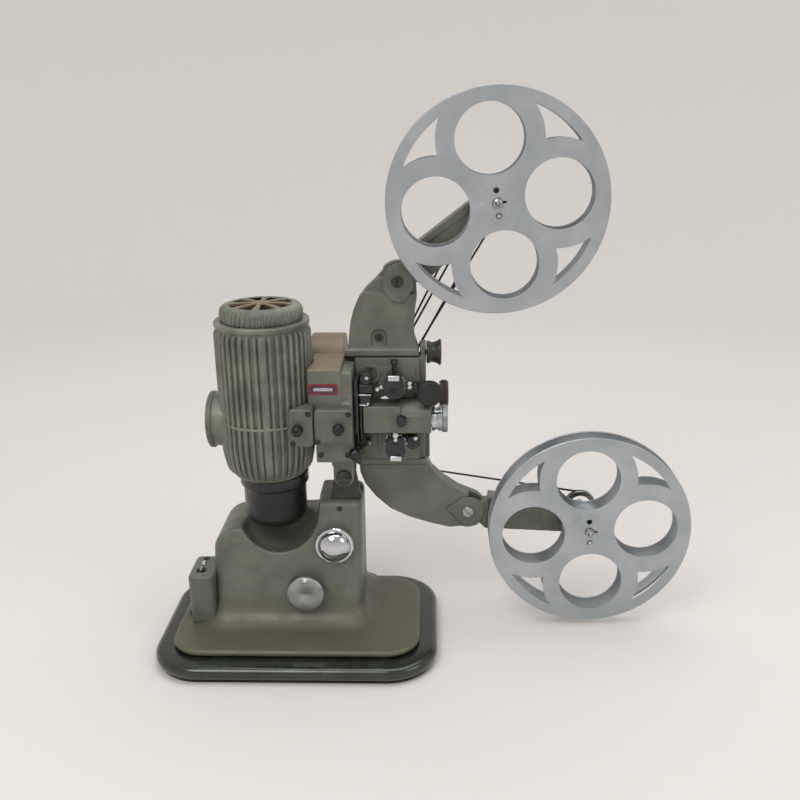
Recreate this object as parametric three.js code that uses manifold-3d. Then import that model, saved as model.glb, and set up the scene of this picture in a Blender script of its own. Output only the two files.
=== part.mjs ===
// A 16 mm film projector on a round-cornered base: fluted lamp house on the left, gear case and film
// gate in the middle, and two folding arms that carry 400-foot reels. Millimetres, +Z up, +X towards
// the screen, +Y away from the operator. The origin is the middle of the base on the table.

import * as THREE from 'three';
import { mergeVertices } from 'three/addons/utils/BufferGeometryUtils.js';
import Module from 'manifold-3d';

const wasm = await Module();
wasm.setup();

// ---- driving dimensions -------------------------------------------------------------------------

const GAP = 0.3;                                                   // between pieces that touch
const BASE = { width: 245, depth: 162, corner: 43, top: 15 };      // dark moulded rim
const DECK = { width: 215, depth: 129, corner: 29, top: 21 };      // painted plate on the rim
const PEDESTAL = { left: -76, right: 56, rear: 60, top: 127, shoulder: 103, slope: 0.244 };
const PIVOT = { x: 42, z: 151 };                                   // tilt of the whole head
const FILM_Y = 20.4;                                               // middle of the film
const OPTIC_Z = 199.2;                                             // lamp, gate and lens axis
const LAMP = { x: -24, radius: 40.7, wall: 3, foot: 152, shoulder: 278, top: 288 };
const SOCKET = { x: -21, radius: 27.4, collar: 32.5, bottom: 104 };
const HOUSING = { left: 20, right: 51.6, front: -4, back: 47.7, bottom: 168, step: 220, top: 250.5 };
const CASE = { left: 52, right: 113, front: 33.3, back: 51, bottom: 157.5, top: 250.5, wall: 2.5 };
const PLATE = { right: 107.5, front: 30 };
const UPPER_SHAFT = { x: 86.2, z: 229 };
const LOWER_SHAFT = { x: 87, z: 179 };
const MAIN_SHAFT = { y: 41.5, z: 204 };                            // worm shaft, along X
const MOTOR = { y: 80, z: 202, radius: 25 };                       // motor shaft, along X
const SPROCKET_R = 9;
const GEAR = { radius: 18, teeth: 24, front: 38.5, back: 44.5 };
const WORM_R = 6;
const REEL = { radius: 88.9, gap: 17.5, sheet: 0.8, hole: 27.6, holeAt: 49.2, core: 20 };
const REEL_WINDOW = { outer: 79.5, side: 42.5 };                   // arcs that bound a window
const UPPER_REEL = { x: 170, z: 382, turn: 7.8 };
const LOWER_REEL = { x: 256.9, z: 95.5, turn: 3.7 };
const ARM = { front: 33.3, split: 41.5, back: 50 };                // both arms, half lapped
const UPPER_KNEE = { x: 89.4, z: 316 };
const LOWER_KNEE = { x: 150.5, z: 105.1 };
const KNEE_R = 16;
const SPINDLE_R = 3.9;
const BELT = { half: 1.1, groove: 1.5 };                           // half the belt, half the groove
const FEED_BELT = { y: 72, shaft: 6.4, spindle: 12.8 };            // y and pulley radii
const REWIND_BELT = { y: 56.5, shaft: 6.25, spindle: 6.25 };
const TAKEUP_BELT = { y: 68, shaft: 6.3, spindle: 13 };
const TAKEUP_SHAFT = { x: 78, z: 131 };
const CHAIN_BELT = { y: 56.5, radius: 6.25 };                      // lower sprocket to take-up shaft
const MOTOR_BELT = { x: 116, radius: 7 };
const TAKEUP_DISC = { radius: 19, front: 60, back: 64.4 };         // weight on the take-up shaft, a guess
const KNOBS = { speed: { x: 7.8, z: 52.9, radius: 16.7 }, tilt: { x: 32.6, z: 90.8, radius: 17 } };
const INLET = { left: -96, right: -78, front: -20, back: 20, top: 66 };
const FOCUS = { x: 116.2, z: 225.7, radius: 11 };
const LOCK = { x: 92.6, z: 203 };                                  // screw that locks the lens
const FRAMER = { y: 42.5, z: 252.3 };
const GUIDE = { x: 65.5, z: 237 };                                 // film guide over the gate

// ---- paint and metal ----------------------------------------------------------------------------

const finish = (color, roughness, metalness) => ({ color, roughness, metalness });
const OLIVE = finish(0x62675a, 0.6, 0.2);
const RIM = finish(0x3c3e37, 0.3, 0.2);
const BLACK = finish(0x222224, 0.4, 0);
const DARK = finish(0x33352f, 0.5, 0.4);
const STEEL = finish(0x9a9da0, 0.35, 0.9);
const CHROME = finish(0xd0d2d4, 0.12, 1);
const ALUMINIUM = finish(0x8c9396, 0.42, 0.9);
const BRASS = finish(0xb08d4a, 0.4, 0.9);
const GLASS = finish(0xdfe8ea, 0.05, 0);
const RUBBER = finish(0x1d1b19, 0.8, 0);
const FELT = finish(0x2c2f2a, 0.95, 0);
const CERAMIC = finish(0xcfc7b8, 0.7, 0);

// ---- shape helpers ------------------------------------------------------------------------------

// Merges shared vertices, drops slivers and turns the faces outward.
function closed(geometry) {
  geometry.deleteAttribute('normal');
  geometry.deleteAttribute('uv');
  const merged = mergeVertices(geometry, 1e-4);
  const position = merged.attributes.position;
  const corners = [0, 1, 2].map(() => new THREE.Vector3());
  const kept = [];
  let volume = 0;
  for (let i = 0; i < merged.index.count; i += 3) {
    const ids = [0, 1, 2].map((k) => merged.index.getX(i + k));
    if (ids[0] === ids[1] || ids[1] === ids[2] || ids[2] === ids[0]) continue;
    ids.forEach((id, k) => corners[k].fromBufferAttribute(position, id));
    volume += corners[0].dot(corners[1].clone().cross(corners[2]));
    kept.push(...ids);
  }
  if (volume < 0) kept.reverse();
  merged.setIndex(kept);
  return merged;
}

function toManifold(geometry) {
  const body = closed(geometry.clone());
  const vertProperties = new Float32Array(body.attributes.position.array);
  const triVerts = new Uint32Array(body.index.array);
  return new wasm.Manifold(new wasm.Mesh({ numProp: 3, vertProperties, triVerts }));
}

function fromManifold(solid) {
  const mesh = solid.getMesh();
  const geometry = new THREE.BufferGeometry();
  geometry.setAttribute('position', new THREE.BufferAttribute(new Float32Array(mesh.vertProperties), 3));
  geometry.setIndex(Array.from(mesh.triVerts));
  return geometry;
}

const join = (...shapes) => fromManifold(shapes.map(toManifold).reduce((a, b) => a.add(b)));
const cut = (body, ...tools) =>
  fromManifold(tools.map(toManifold).reduce((rest, tool) => rest.subtract(tool), toManifold(body)));

function box(x0, x1, y0, y1, z0, z1) {
  const geometry = new THREE.BoxGeometry(x1 - x0, y1 - y0, z1 - z0);
  return geometry.translate((x0 + x1) / 2, (y0 + y1) / 2, (z0 + z1) / 2);
}

// Turns a geometry built along +Z so that it runs along X or Y, its own x and y staying in reading
// order: along Y the outline is drawn in (X, Z), along X in (Y, Z).
const alongY = (geometry, back) => geometry.rotateX(Math.PI / 2).translate(0, back, 0);
const CYCLE = new THREE.Matrix4().set(0, 0, 1, 0, 1, 0, 0, 0, 0, 1, 0, 0, 0, 0, 0, 1);
const alongX = (geometry, left) => geometry.applyMatrix4(CYCLE).translate(left, 0, 0);

function extrude(shape, depth, options = {}) {
  return new THREE.ExtrudeGeometry(shape, { depth, bevelEnabled: false, curveSegments: 5, ...options });
}
const plateY = (shape, front, back) => alongY(extrude(shape, back - front), back);
const plateX = (shape, left, right) => alongX(extrude(shape, right - left), left);
const plateZ = (shape, low, high) => extrude(shape, high - low).translate(0, 0, low);

// A cylinder from one end to the other along X, Y or Z; p and q are its other two coordinates.
function rod(axis, p, q, radius, low, high, sides = 12) {
  return turned(axis, p, q, [[0, low], [radius, low], [radius, high], [0, high]], sides);
}

// Turns a profile of [radius, height] points about an axis along X (through y=p, z=q),
// Y (through x=p, z=q) or Z (through x=p, y=q).
function turned(axis, p, q, profile, sides = 12) {
  const points = profile.map(([r, h]) => new THREE.Vector2(r, h));
  const geometry = new THREE.LatheGeometry(points, sides);
  if (axis === 'x') return geometry.rotateZ(-Math.PI / 2).translate(0, p, q);
  if (axis === 'z') return geometry.rotateX(Math.PI / 2).translate(p, q, 0);
  return geometry.translate(p, 0, q);
}

// A closed outline: [x, y] is a corner, and [cx, cy, r, from, to, clockwise] is an arc in degrees.
function outline(...steps) {
  const shape = new THREE.Shape();
  steps.forEach((step, i) => {
    if (step.length > 2) {
      const [cx, cy, r, from, to, clockwise = false] = step;
      shape.absarc(cx, cy, r, THREE.MathUtils.degToRad(from), THREE.MathUtils.degToRad(to), clockwise);
    } else if (i === 0) shape.moveTo(...step);
    else shape.lineTo(...step);
  });
  return shape;
}

function roundedRect(x0, x1, y0, y1, r) {
  return outline([x1 - r, y0 + r, r, -90, 0], [x1 - r, y1 - r, r, 0, 90],
    [x0 + r, y1 - r, r, 90, 180], [x0 + r, y0 + r, r, 180, 270]);
}

// The loop round two pulleys, offset outward by `out` from the belt's middle line.
function beltLoop(a, ra, b, rb, out) {
  const angle = Math.atan2(b[1] - a[1], b[0] - a[0]) * 180 / Math.PI;
  const lean = Math.asin((rb - ra) / Math.hypot(b[0] - a[0], b[1] - a[1])) * 180 / Math.PI;
  const side = 90 + lean;
  return outline([a[0], a[1], ra + out, angle + side, angle + 360 - side],
    [b[0], b[1], rb + out, angle - side, angle + side]);
}

function beltRing(a, ra, b, rb) {
  const shape = beltLoop(a, ra, b, rb, BELT.half);
  shape.holes.push(beltLoop(a, ra, b, rb, -BELT.half));
  return shape;
}

// The stretch of a turned profile that a pulley takes up, its groove at `middle`.
function pulleyProfile(radius, middle) {
  const root = radius - BELT.half - 1;
  const lip = radius + 1.6;
  const edge = BELT.groove + 1;
  return [[lip, middle - edge], [lip, middle - BELT.groove], [root, middle - BELT.groove],
    [root, middle + BELT.groove], [lip, middle + BELT.groove], [lip, middle + edge]];
}

const projector = new THREE.Group();

function add(name, geometry, look) {
  const material = new THREE.MeshStandardMaterial(look);
  const mesh = new THREE.Mesh(closed(geometry), material);
  mesh.name = name;
  projector.add(mesh);
}

// ---- base ---------------------------------------------------------------------------------------

function baseRect(width, depth, corner, inset = 0) {
  return roundedRect(-width / 2 + inset, width / 2 - inset, -depth / 2 + inset, depth / 2 - inset,
    corner - inset);
}

// The rim is a bullnose moulding, open in the middle for the parts inside the pedestal.
function baseMolding() {
  const nose = 5;
  const low = 2 + GAP;
  const rim = extrude(baseRect(BASE.width, BASE.depth, BASE.corner, nose), BASE.top - low - 2 * nose, {
    bevelEnabled: true, bevelSize: nose, bevelThickness: nose, bevelSegments: 2,
  }).translate(0, 0, low + nose);
  return cut(rim, plateZ(roundedRect(-88, 68, -28, 62, 8), 0, BASE.top + 1));
}

// Outer shape of the pedestal: a rounded rectangle whose sides flare into the deck, whose front
// slopes back, and whose top edge is rounded.
function pedestalShell() {
  const height = PEDESTAL.top - DECK.top + 1;
  const unit = roundedRect(-1, 1, -1, 1, 0.3);
  const shell = extrude(unit, height, { steps: 8, curveSegments: 3 });
  const flareR = 16;
  const edgeR = 6;
  const position = shell.attributes.position;
  for (let i = 0; i < position.count; i += 1) {
    const z = DECK.top - 1 + position.getZ(i);
    const climb = Math.min(Math.max(z - DECK.top, 0), flareR);
    const flare = flareR - Math.sqrt(flareR ** 2 - (flareR - climb) ** 2);
    const sink = Math.max(z - (PEDESTAL.top - edgeR), 0);
    const round = edgeR - Math.sqrt(edgeR ** 2 - sink ** 2);
    const front = -2 - (91 - z) * PEDESTAL.slope;
    const halfX = (PEDESTAL.right - PEDESTAL.left) / 2 + flare - round;
    const halfY = (PEDESTAL.rear - front) / 2 + flare - round;
    position.setXYZ(i, (PEDESTAL.left + PEDESTAL.right) / 2 + position.getX(i) * halfX,
      (PEDESTAL.rear + front) / 2 + position.getY(i) * halfY, z);
  }
  return shell;
}

function baseCasting() {
  const deck = extrude(baseRect(DECK.width, DECK.depth, DECK.corner, 1.5), 3.7, {
    bevelEnabled: true, bevelSize: 1.5, bevelThickness: 1, bevelSegments: 1,
  }).translate(0, 0, BASE.top + GAP + 1);
  const shoulder = PEDESTAL.shoulder;
  const overShoulder = outline([-100, 78], [PEDESTAL.left, 84], [PEDESTAL.left + 22,
    shoulder - 22, 22, 165, 95, true],
    [14, shoulder + 2], [19, PEDESTAL.top + 5], [-100, PEDESTAL.top + 5]);
  const scoop = new THREE.SphereGeometry(36, 14, 8).translate(SOCKET.x + 4, FILM_Y - 6, 114);
  const scoopTop = rod('z', SOCKET.x + 4, FILM_Y - 6, 36, 114, 140, 18);
  const inside = box(-66, 46, -4, 50, 10, 68);
  return cut(join(deck, pedestalShell()), plateY(overShoulder, -60, 100), scoop, scoopTop, inside,
    rod('y', KNOBS.speed.x, KNOBS.speed.z, 3.4, -40, 0), rod('y', KNOBS.tilt.x, KNOBS.tilt.z, 3.4, -40, 14));
}

function powerInlet() {
  const block = plateZ(roundedRect(INLET.left, INLET.right, INLET.front, INLET.back, 4),
    DECK.top + GAP, INLET.top);
  const socket = box(INLET.left - 1, INLET.left + 12, -10, 10, 34, 52);
  const slot = box(-91, -83, -10, -2, INLET.top - 8, INLET.top + 1);
  return cut(block, socket, slot, pedestalGap());
}

// The pedestal grown by the gap, which trims what stands against it.
function pedestalGap() {
  return pedestalShell().translate(-GAP, 0, GAP);
}

function lampSwitchLever() {
  const lever = rod('z', 0, 0, 1.5, -6, 9, 12);
  const ball = new THREE.SphereGeometry(2.3, 10, 6).translate(0, 0, 8.5);
  return join(lever, ball).rotateY(THREE.MathUtils.degToRad(24)).translate(-87, -6, INLET.top - 1);
}

function speedKnob() {
  const { x, z, radius } = KNOBS.speed;
  return turned('y', x, z, [[0, -25.2], [radius - 1, -25.2], [radius, -24.2], [radius, -17],
    [radius - 1, -16.2],
    [3, -16.2], [3, 4], [0, 4]], 16);
}

function tiltKnob() {
  const { x, z, radius } = KNOBS.tilt;
  const dome = Array.from({ length: 7 }, (_, i) => {
    const a = i * Math.PI / 12;
    return [(radius - 3) * Math.sin(a), -8 - 10 * Math.cos(a)];
  });
  return turned('y', x, z, [...dome, [radius - 1, -9], [radius, -7.5], [radius - 1, -6], [3, -6], [3, 12],
    [0, 12]], 16);
}

// Bracket that stands on the pedestal and carries the head on one pin.
function tiltBracket() {
  const foot = PEDESTAL.top + GAP;
  const lug = plateY(outline([PIVOT.x + 14, foot], [PIVOT.x + 12, foot + 5], [PIVOT.x, PIVOT.z, 9, 0, 180],
    [PIVOT.x - 12, foot + 5], [PIVOT.x - 14, foot]), 12, 24);
  return cut(lug, rod('y', PIVOT.x, PIVOT.z, 3.4, 0, 40));
}

function tiltPin() {
  return turned('y', PIVOT.x, PIVOT.z, [[0, -0.5], [2.4, -0.5], [2.4, 1], [6.8, 1], [6.8, 3.7], [3, 3.7],
    [3, 32.4],
    [5.5, 32.4], [5.5, 35.5], [0, 35.5]], 12);
}

function speedResistor() {
  return turned('x', 28, 48, [[0, -50], [4, -50], [4, -44], [11, -44], [11, 30], [4, 30], [4, 36],
    [0, 36]], 10);
}

// ---- lamp house ---------------------------------------------------------------------------------

function lampHouse() {
  const { radius, wall, foot, shoulder, top } = LAMP;
  const shell = turned('z', LAMP.x, FILM_Y, [[radius - 6.5, foot], [radius - 2, foot + 14],
    [radius, foot + 28],
    [radius, shoulder], [radius - 1.4, shoulder + 2], [radius - 1.4, top], [radius - wall - 4, top],
    [radius - wall - 4, shoulder - 8], [radius - wall - 3, foot + 24], [radius - 10, foot],
    [radius - 6.5, foot]], 30);
  const mirrorPort = rod('x', FILM_Y, OPTIC_Z, 23.7, LAMP.x - 60, LAMP.x, 18);
  const lightPort = rod('x', FILM_Y, OPTIC_Z, 14, LAMP.x, LAMP.x + 60, 16);
  return cut(shell, mirrorPort, lightPort);
}

// Domed ventilator cap with wedge-shaped openings round a small hub.
function lampHouseCap() {
  const low = LAMP.top + GAP;
  const cap = turned('z', LAMP.x, FILM_Y, [[35.3, low], [35.3, low + 8], [33, low + 10.5], [22, low + 13],
    [7, low + 14.2],
    [0, low + 14.4], [0, low + 12], [7, low + 11.8], [22, low + 10.6], [31, low + 8.4], [32.8, low + 7],
    [32.8, low], [35.3, low]], 16);
  const wedge = outline([11, -2.9], [28, -7.5], [28, 7.5], [11, 2.9]);
  const vents = Array.from({ length: 8 }, (_, i) =>
    plateZ(wedge, low + 5, low + 20).rotateZ((i + 0.5) * Math.PI / 4).translate(LAMP.x, FILM_Y, 0));
  return cut(cap, ...vents);
}

function mirrorHousing() {
  return turned('x', FILM_Y, OPTIC_Z, [[0, -73.6], [23.5, -73.6], [24.6, -72.6], [24.6, -69.6], [23, -68.6],
    [23, -54.6], [20.4, -54.6], [20.4, -70.1], [0, -70.1]], 16);
}

function reflector() {
  return turned('x', FILM_Y, OPTIC_Z, [[0, -68.1], [8, -67.3], [14, -65.2], [19.5, -61.4], [19.5, -59.6],
    [14, -63.5], [8, -65.6], [0, -66.4]], 12);
}

function lampSocket() {
  const { x, radius, collar, bottom } = SOCKET;
  return turned('z', x, FILM_Y, [[0, bottom], [radius - 9, bottom], [radius - 3.5, bottom + 2.5],
    [radius, bottom + 9],
    [radius, 140], [collar - 3, 142], [collar - 3, LAMP.foot - GAP], [22, LAMP.foot - GAP], [22, 122],
    [0, 122]], 16);
}

function lampBulb() {
  return turned('z', SOCKET.x, FILM_Y, [[0, 122.5], [10, 122.5], [10, 150], [13, 154], [14.5, 160],
    [14.5, 238],
    [12, 246], [6, 251], [0, 252]], 12);
}

// ---- shutter housing and covers -----------------------------------------------------------------

function shutterHousing() {
  const { left, right, front, back, bottom, step, top } = HOUSING;
  const body = join(box(left, right, front, back, bottom, step + 1), box(15, right, front, back, step, top),
    box(40.3, right, back - 1, 72.5, 172, 236), headLugs());
  const shutterSpace = rod('x', MAIN_SHAFT.y, MAIN_SHAFT.z, 29, 42, 49.4, 20);
  const condenserSpace = box(left + 2.5, 42.5, 2, 40, bottom + 4, step - 3);
  return cut(body, shutterSpace, condenserSpace, rod('x', FILM_Y, OPTIC_Z, 13, 10, 30, 12),
    rod('x', FILM_Y, OPTIC_Z, 6.5, 45, 60, 10), rod('x', MAIN_SHAFT.y, MAIN_SHAFT.z, 3.4, 45, 60, 10),
    rod('z', LAMP.x, FILM_Y, LAMP.radius + GAP, bottom - 1, top + 1, 30));
}

// The two lugs under the housing that straddle the tilt bracket.
function headLugs() {
  const lug = () => outline([PIVOT.x + 9, HOUSING.bottom + 1], [PIVOT.x - 9, HOUSING.bottom + 1],
    [PIVOT.x, PIVOT.z, 9, 180, 360]);
  const bolt = rod('y', PIVOT.x, PIVOT.z, 3.4, 0, 40);
  const root = box(32, 51, 4, 32, 161.5, HOUSING.bottom + 1);
  return cut(join(plateY(lug(), 4, 11.6), plateY(lug(), 24.4, 32), root), bolt);
}

// Slide-out box for the condenser lens, fitted against the round of the lamp house.
function condenserBox() {
  const block = plateY(roundedRect(-0.5, HOUSING.left - GAP, 186.6, 219.7, 3), -16, 5);
  return cut(block, rod('z', LAMP.x, FILM_Y, LAMP.radius + GAP, 150, 240, 30));
}

function gateCover() {
  return plateY(roundedRect(HOUSING.left + 0.2, 52.6, 188.5, 218.6, 3.5), -14, HOUSING.front - GAP);
}

function thumbKnob(x, z, face) {
  return turned('y', x, z, [[0, face - 8.5], [3.2, face - 8.2], [4.9, face - 6], [4.9, face - 3],
    [2.6, face - 2],
    [2.6, face - GAP], [0, face - GAP]], 12);
}

function condenserLens() {
  return turned('x', FILM_Y, OPTIC_Z, [[0, 23.2], [8, 24.2], [13.5, 27], [13.5, 30], [8, 33.4],
    [0, 34.6]], 10);
}

// ---- mechanism ----------------------------------------------------------------------------------

function gearCase() {
  const { left, right, front, back, bottom, top, wall } = CASE;
  const ear = plateX(roundedRect(36, 49, 238, 263, 6), 108, right);
  const body = join(box(left, right, front, back, bottom, top), ear);
  const shaftHole = (shaft, radius) => rod('y', shaft.x, shaft.z, radius, back - 5, back + 5, 10);
  return cut(body, box(left + wall, right - wall, front - 1, back - wall, bottom + wall, top - wall),
    shaftHole(UPPER_SHAFT, 3.6), shaftHole(LOWER_SHAFT, 3.6), rod('x', MAIN_SHAFT.y, MAIN_SHAFT.z,
    3.4, 45, 130, 10),
    rod('x', FRAMER.y, FRAMER.z, 2.9, 100, 130, 10));
}

// Front plate of the mechanism with the raised ring round the upper film guide.
function mechanismPlate() {
  const plate = plateY(roundedRect(CASE.left, PLATE.right, CASE.bottom, CASE.top, 2), PLATE.front,
    CASE.front - GAP);
  const ring = turned('y', GUIDE.x, GUIDE.z, [[5.5, 27.5], [8.6, 27.5], [8.6, 31], [5.5, 31],
    [5.5, 27.5]], 10);
  const stub = rod('y', GUIDE.x, GUIDE.z, 3, 12, 31, 10);
  const bossHole = (shaft) => rod('y', shaft.x, shaft.z, 3.6, 20, 40, 10);
  return cut(join(plate, ring, stub), bossHole(UPPER_SHAFT), bossHole(LOWER_SHAFT));
}

function gatePlate() {
  const plate = box(52.2, 56, 5, PLATE.front - GAP, 182, 238);
  const aperture = box(50, 60, FILM_Y - 5.2, FILM_Y + 5.2, OPTIC_Z - 3.8, OPTIC_Z + 3.8);
  const clawSlot = box(50, 60, 26.6, 28.4, OPTIC_Z - 14, OPTIC_Z + 6);
  return cut(plate, aperture, clawSlot);
}

function pressurePlate() {
  const plate = box(56.5, 58.8, 9, PLATE.front - GAP, 184, 227.5);
  return cut(plate, box(55, 60, FILM_Y - 6, FILM_Y + 6, OPTIC_Z - 4.8, OPTIC_Z + 4.8));
}

function claw() {
  return box(52.8, 56.3, 26.9, 28.1, OPTIC_Z - 13, OPTIC_Z - 6);
}

// Drum, shaft and rear pulleys of a film sprocket.
function sprocket(shaft, pulleys, end) {
  const drum = [[0, 9.4], [4.5, 9.4], [4.5, 11], [SPROCKET_R, 11], [SPROCKET_R, 13.4], [8, 13.8], [8, 26.4],
    [SPROCKET_R, 26.8], [SPROCKET_R, 29], [3.2, 29]];
  const rear = pulleys.flatMap(([radius, middle]) => [[3.2, middle - BELT.groove - 1],
    ...pulleyProfile(radius, middle),
    [3.2, middle + BELT.groove + 1]]);
  return turned('y', shaft.x, shaft.z, [...drum, ...rear, [3.2, end], [0, end]], 10);
}

function wormWheel(shaft) {
  const shape = new THREE.Shape(Array.from({ length: GEAR.teeth * 4 }, (_, i) => {
    const r = i % 4 < 2 ? GEAR.radius - 1.6 : GEAR.radius;
    const a = (i + 0.5) * Math.PI / (GEAR.teeth * 2);
    return new THREE.Vector2(shaft.x + r * Math.cos(a), shaft.z + r * Math.sin(a));
  }));
  return cut(plateY(shape, GEAR.front, GEAR.back), rod('y', shaft.x, shaft.z, 3.5, 30, 50, 10));
}

function mainShaft() {
  const worm = [80, 84, 88, 92].flatMap((x) => [[WORM_R, x], [WORM_R, x + 1.8], [4.6, x + 2],
    [4.6, x + 3.8]]);
  const pulley = [[3, MOTOR_BELT.x - BELT.groove - 1], ...pulleyProfile(MOTOR_BELT.radius, MOTOR_BELT.x)];
  return turned('x', MAIN_SHAFT.y, MAIN_SHAFT.z,
    [[0, 42.4], [3, 42.4], [3, 80], ...worm, [3, 96], ...pulley, [0, MOTOR_BELT.x + BELT.groove + 1]], 12);
}

// Two-bladed shutter disc.
function shutter() {
  const { y, z } = MAIN_SHAFT;
  const blades = outline([y, z, 28, -125, 5], [y, z, 9, 5, 55], [y, z, 28, 55, 185], [y, z, 9, 185, 235]);
  return cut(plateX(blades, 44, 45.4), rod('x', y, z, 3.3, 40, 50, 10));
}

function clutchLever() {
  const from = new THREE.Vector3(62.5, PLATE.front - GAP, 174.5);
  const to = new THREE.Vector3(53, -9.5, 178);
  const along = to.clone().sub(from);
  const stem = rod('y', 0, 0, 1.6, 0, along.length(), 12);
  stem.applyQuaternion(new THREE.Quaternion().setFromUnitVectors(new THREE.Vector3(0, 1, 0),
    along.normalize()));
  const foot = rod('x', 27, 174.8, 3, 60.5, 64.5, 10);
  const ball = new THREE.SphereGeometry(5, 14, 8).translate(to.x, to.y, to.z);
  return join(stem.translate(from.x, from.y - 1, from.z), foot, ball);
}

// Film guard that turns about the sprocket's own axis: a face in front of the drum, a shoe over its
// outer side and a thumb tab. `side` is +1 for the upper one and -1 for the lower.
function sprocketGuard(shaft, side) {
  const { x, z } = shaft;
  const flip = (h) => z + side * h;
  const face = new THREE.Shape([[8.4, 6], [6.5, 11], [-6.5, 11], [-8.4, 6], [-8.4, -3.5], [-4.5, -7],
    [0, -8.5],
    [4.5, -7], [8.4, -3.5]].map(([dx, dz]) => new THREE.Vector2(x + dx, flip(dz))));
  const shoe = outline([x, z, 11.2, 50 * side, 130 * side, side < 0], [x, z, 9.7, 130 * side,
    50 * side, side > 0]);
  const tab = box(x - 5, x + 5, 3.5, 7, Math.min(flip(8.5), flip(13.5)), Math.max(flip(8.5), flip(13.5)));
  return join(plateY(face, 6.5, 8.6), plateY(shoe, 8, 27), tab);
}

// ---- lens ---------------------------------------------------------------------------------------

function lensCarrier() {
  const back = PLATE.front - GAP;
  const block = plateY(roundedRect(59.6, 91.5, 190.8, 214.5, 1.5), 6, back);
  const front = box(91, 117.6, 6, FILM_Y, 190.8, 206);
  const tube = rod('x', FILM_Y, 201.5, 14.6, 91, 117.6, 24);
  const boss = join(box(111, 117.6, 13.5, 27, 206, 214), box(111, 120.5, 13.5, 27, 212, 231));
  const lensBore = rod('x', FILM_Y, OPTIC_Z, 8.4, 50, 140, 20);
  return cut(join(block, front, tube, boss), box(50, 130, back, 60, 180, 240), lensBore,
    rod('y', FOCUS.x, FOCUS.z, 2.9, 10, 40), rod('y', LOCK.x, LOCK.z, 2.2, 0, 9));
}

function lensBarrel() {
  return turned('x', FILM_Y, OPTIC_Z, [[6.4, 64], [8, 64], [8, 118], [10.9, 118], [10.9, 121], [9.8, 121.3],
    [9.8, 122.7], [10.9, 123], [10.9, 127], [11.9, 127.3], [11.9, 131], [8.4, 131.6], [8.4, 124],
    [6.4, 118], [6.4, 64]], 18);
}

function focusKnob() {
  return turned('y', FOCUS.x, FOCUS.z, [[0, 4.6], [10, 4.6], [FOCUS.radius, 5.6], [FOCUS.radius, 11],
    [10, 12],
    [2.5, 12], [2.5, 27.5], [0, 27.5]], 12);
}

function lensLockScrew() {
  return turned('y', LOCK.x, LOCK.z, [[0, -1], [4.2, -0.4], [4.6, 1], [4.6, 5.7], [1.9, 5.7], [1.9, 8.6],
    [0, 8.6]], 12);
}

function framerKnob() {
  return turned('x', FRAMER.y, FRAMER.z, [[0, 109], [2.5, 109], [2.5, CASE.right + 0.5], [9.6,
    CASE.right + 0.5], [9.9, 116],
    [8.6, 117.5], [9.2, 121], [11.5, 124.5], [11.5, 125.8], [9, 126.4], [0, 126.4]], 10);
}

// ---- motor and blower ---------------------------------------------------------------------------

function blowerHousing() {
  const side = roundedRect(48, 106, 158, 260, 14);
  const room = roundedRect(50.5, 103.5, 160.5, 257.5, 12);
  return cut(plateX(side, 10, 40), plateX(room, 12.5, 37.5), rod('x', MOTOR.y, MOTOR.z, 12, 5, 20, 12),
    rod('x', MOTOR.y, MOTOR.z, 4, 30, 50, 10));
}

function motorHousing() {
  const r = MOTOR.radius;
  return turned('x', MOTOR.y, MOTOR.z, [[4, 52], [r - 2, 52], [r, 54], [r, 72], [r - 2, 76], [8, 78],
    [7, 82], [4, 82],
    [4, 80], [6, 76], [r - 3, 73], [r - 2.5, 71], [r - 2.5, 54.5], [4, 54.5], [4, 52]], 12);
}

function motorRotor() {
  return turned('x', MOTOR.y, MOTOR.z, [[0, 16], [3, 16], [3, 57], [19, 57], [19, 69], [3, 69],
    [3, MOTOR_BELT.x - BELT.groove - 1], ...pulleyProfile(MOTOR_BELT.radius, MOTOR_BELT.x),
    [3, MOTOR_BELT.x + BELT.groove + 1], [3, 131], [0, 131]], 12);
}

function fanWheel() {
  const wheel = turned('x', MOTOR.y, MOTOR.z,
    [[3.3, 18], [6, 18], [6, 33], [22, 33], [22, 34.5], [3.3, 34.5], [3.3, 18]], 12);
  const blades = Array.from({ length: 8 }, (_, i) =>
    box(19, 33.5, 5.5, 22, -0.6, 0.6).rotateX(i * Math.PI / 4).translate(0, MOTOR.y, MOTOR.z));
  return join(wheel, ...blades);
}

function handTurnKnob() {
  return turned('x', MOTOR.y, MOTOR.z, [[3.3, 125], [11.5, 125], [12.9, 126.5], [12.9, 132], [11.5, 133.4],
    [0, 133.4],
    [0, 131.4], [3.3, 131.4], [3.3, 125]], 12);
}

// ---- arms ---------------------------------------------------------------------------------------

// Post of the upper arm: a swan neck whose top is half lapped for the knee.
function upperArmPost() {
  const { x, z } = UPPER_KNEE;
  const neck = outline([46.5, 257], [47, 266], [49, 281.5], [51.9, 292], [56, 301.2], [62.4, 309.6],
    [70, 316.6],
    [77, 324], [x, z, KNEE_R, 140, 20, true], [105.6, 302], [104, 292], [103, 280], [103, 268], [106.5, 257]);
  const foot = box(43.2, 107.1, ARM.front, ARM.back, 251.2, 258);
  const lap = rod('y', x, z, 21, ARM.front - 1, ARM.split + GAP, 20);
  const lapCorner = plateY(outline([40, 309.5], [72, 305.5], [110, 305.5], [110, 350], [40, 350]),
    ARM.front - 1, 36);
  const bolt = rod('y', x, z, 3.4, 30, 60, 10);
  return cut(join(plateY(neck, ARM.front, ARM.back), foot), lap, lapCorner, bolt);
}

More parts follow.
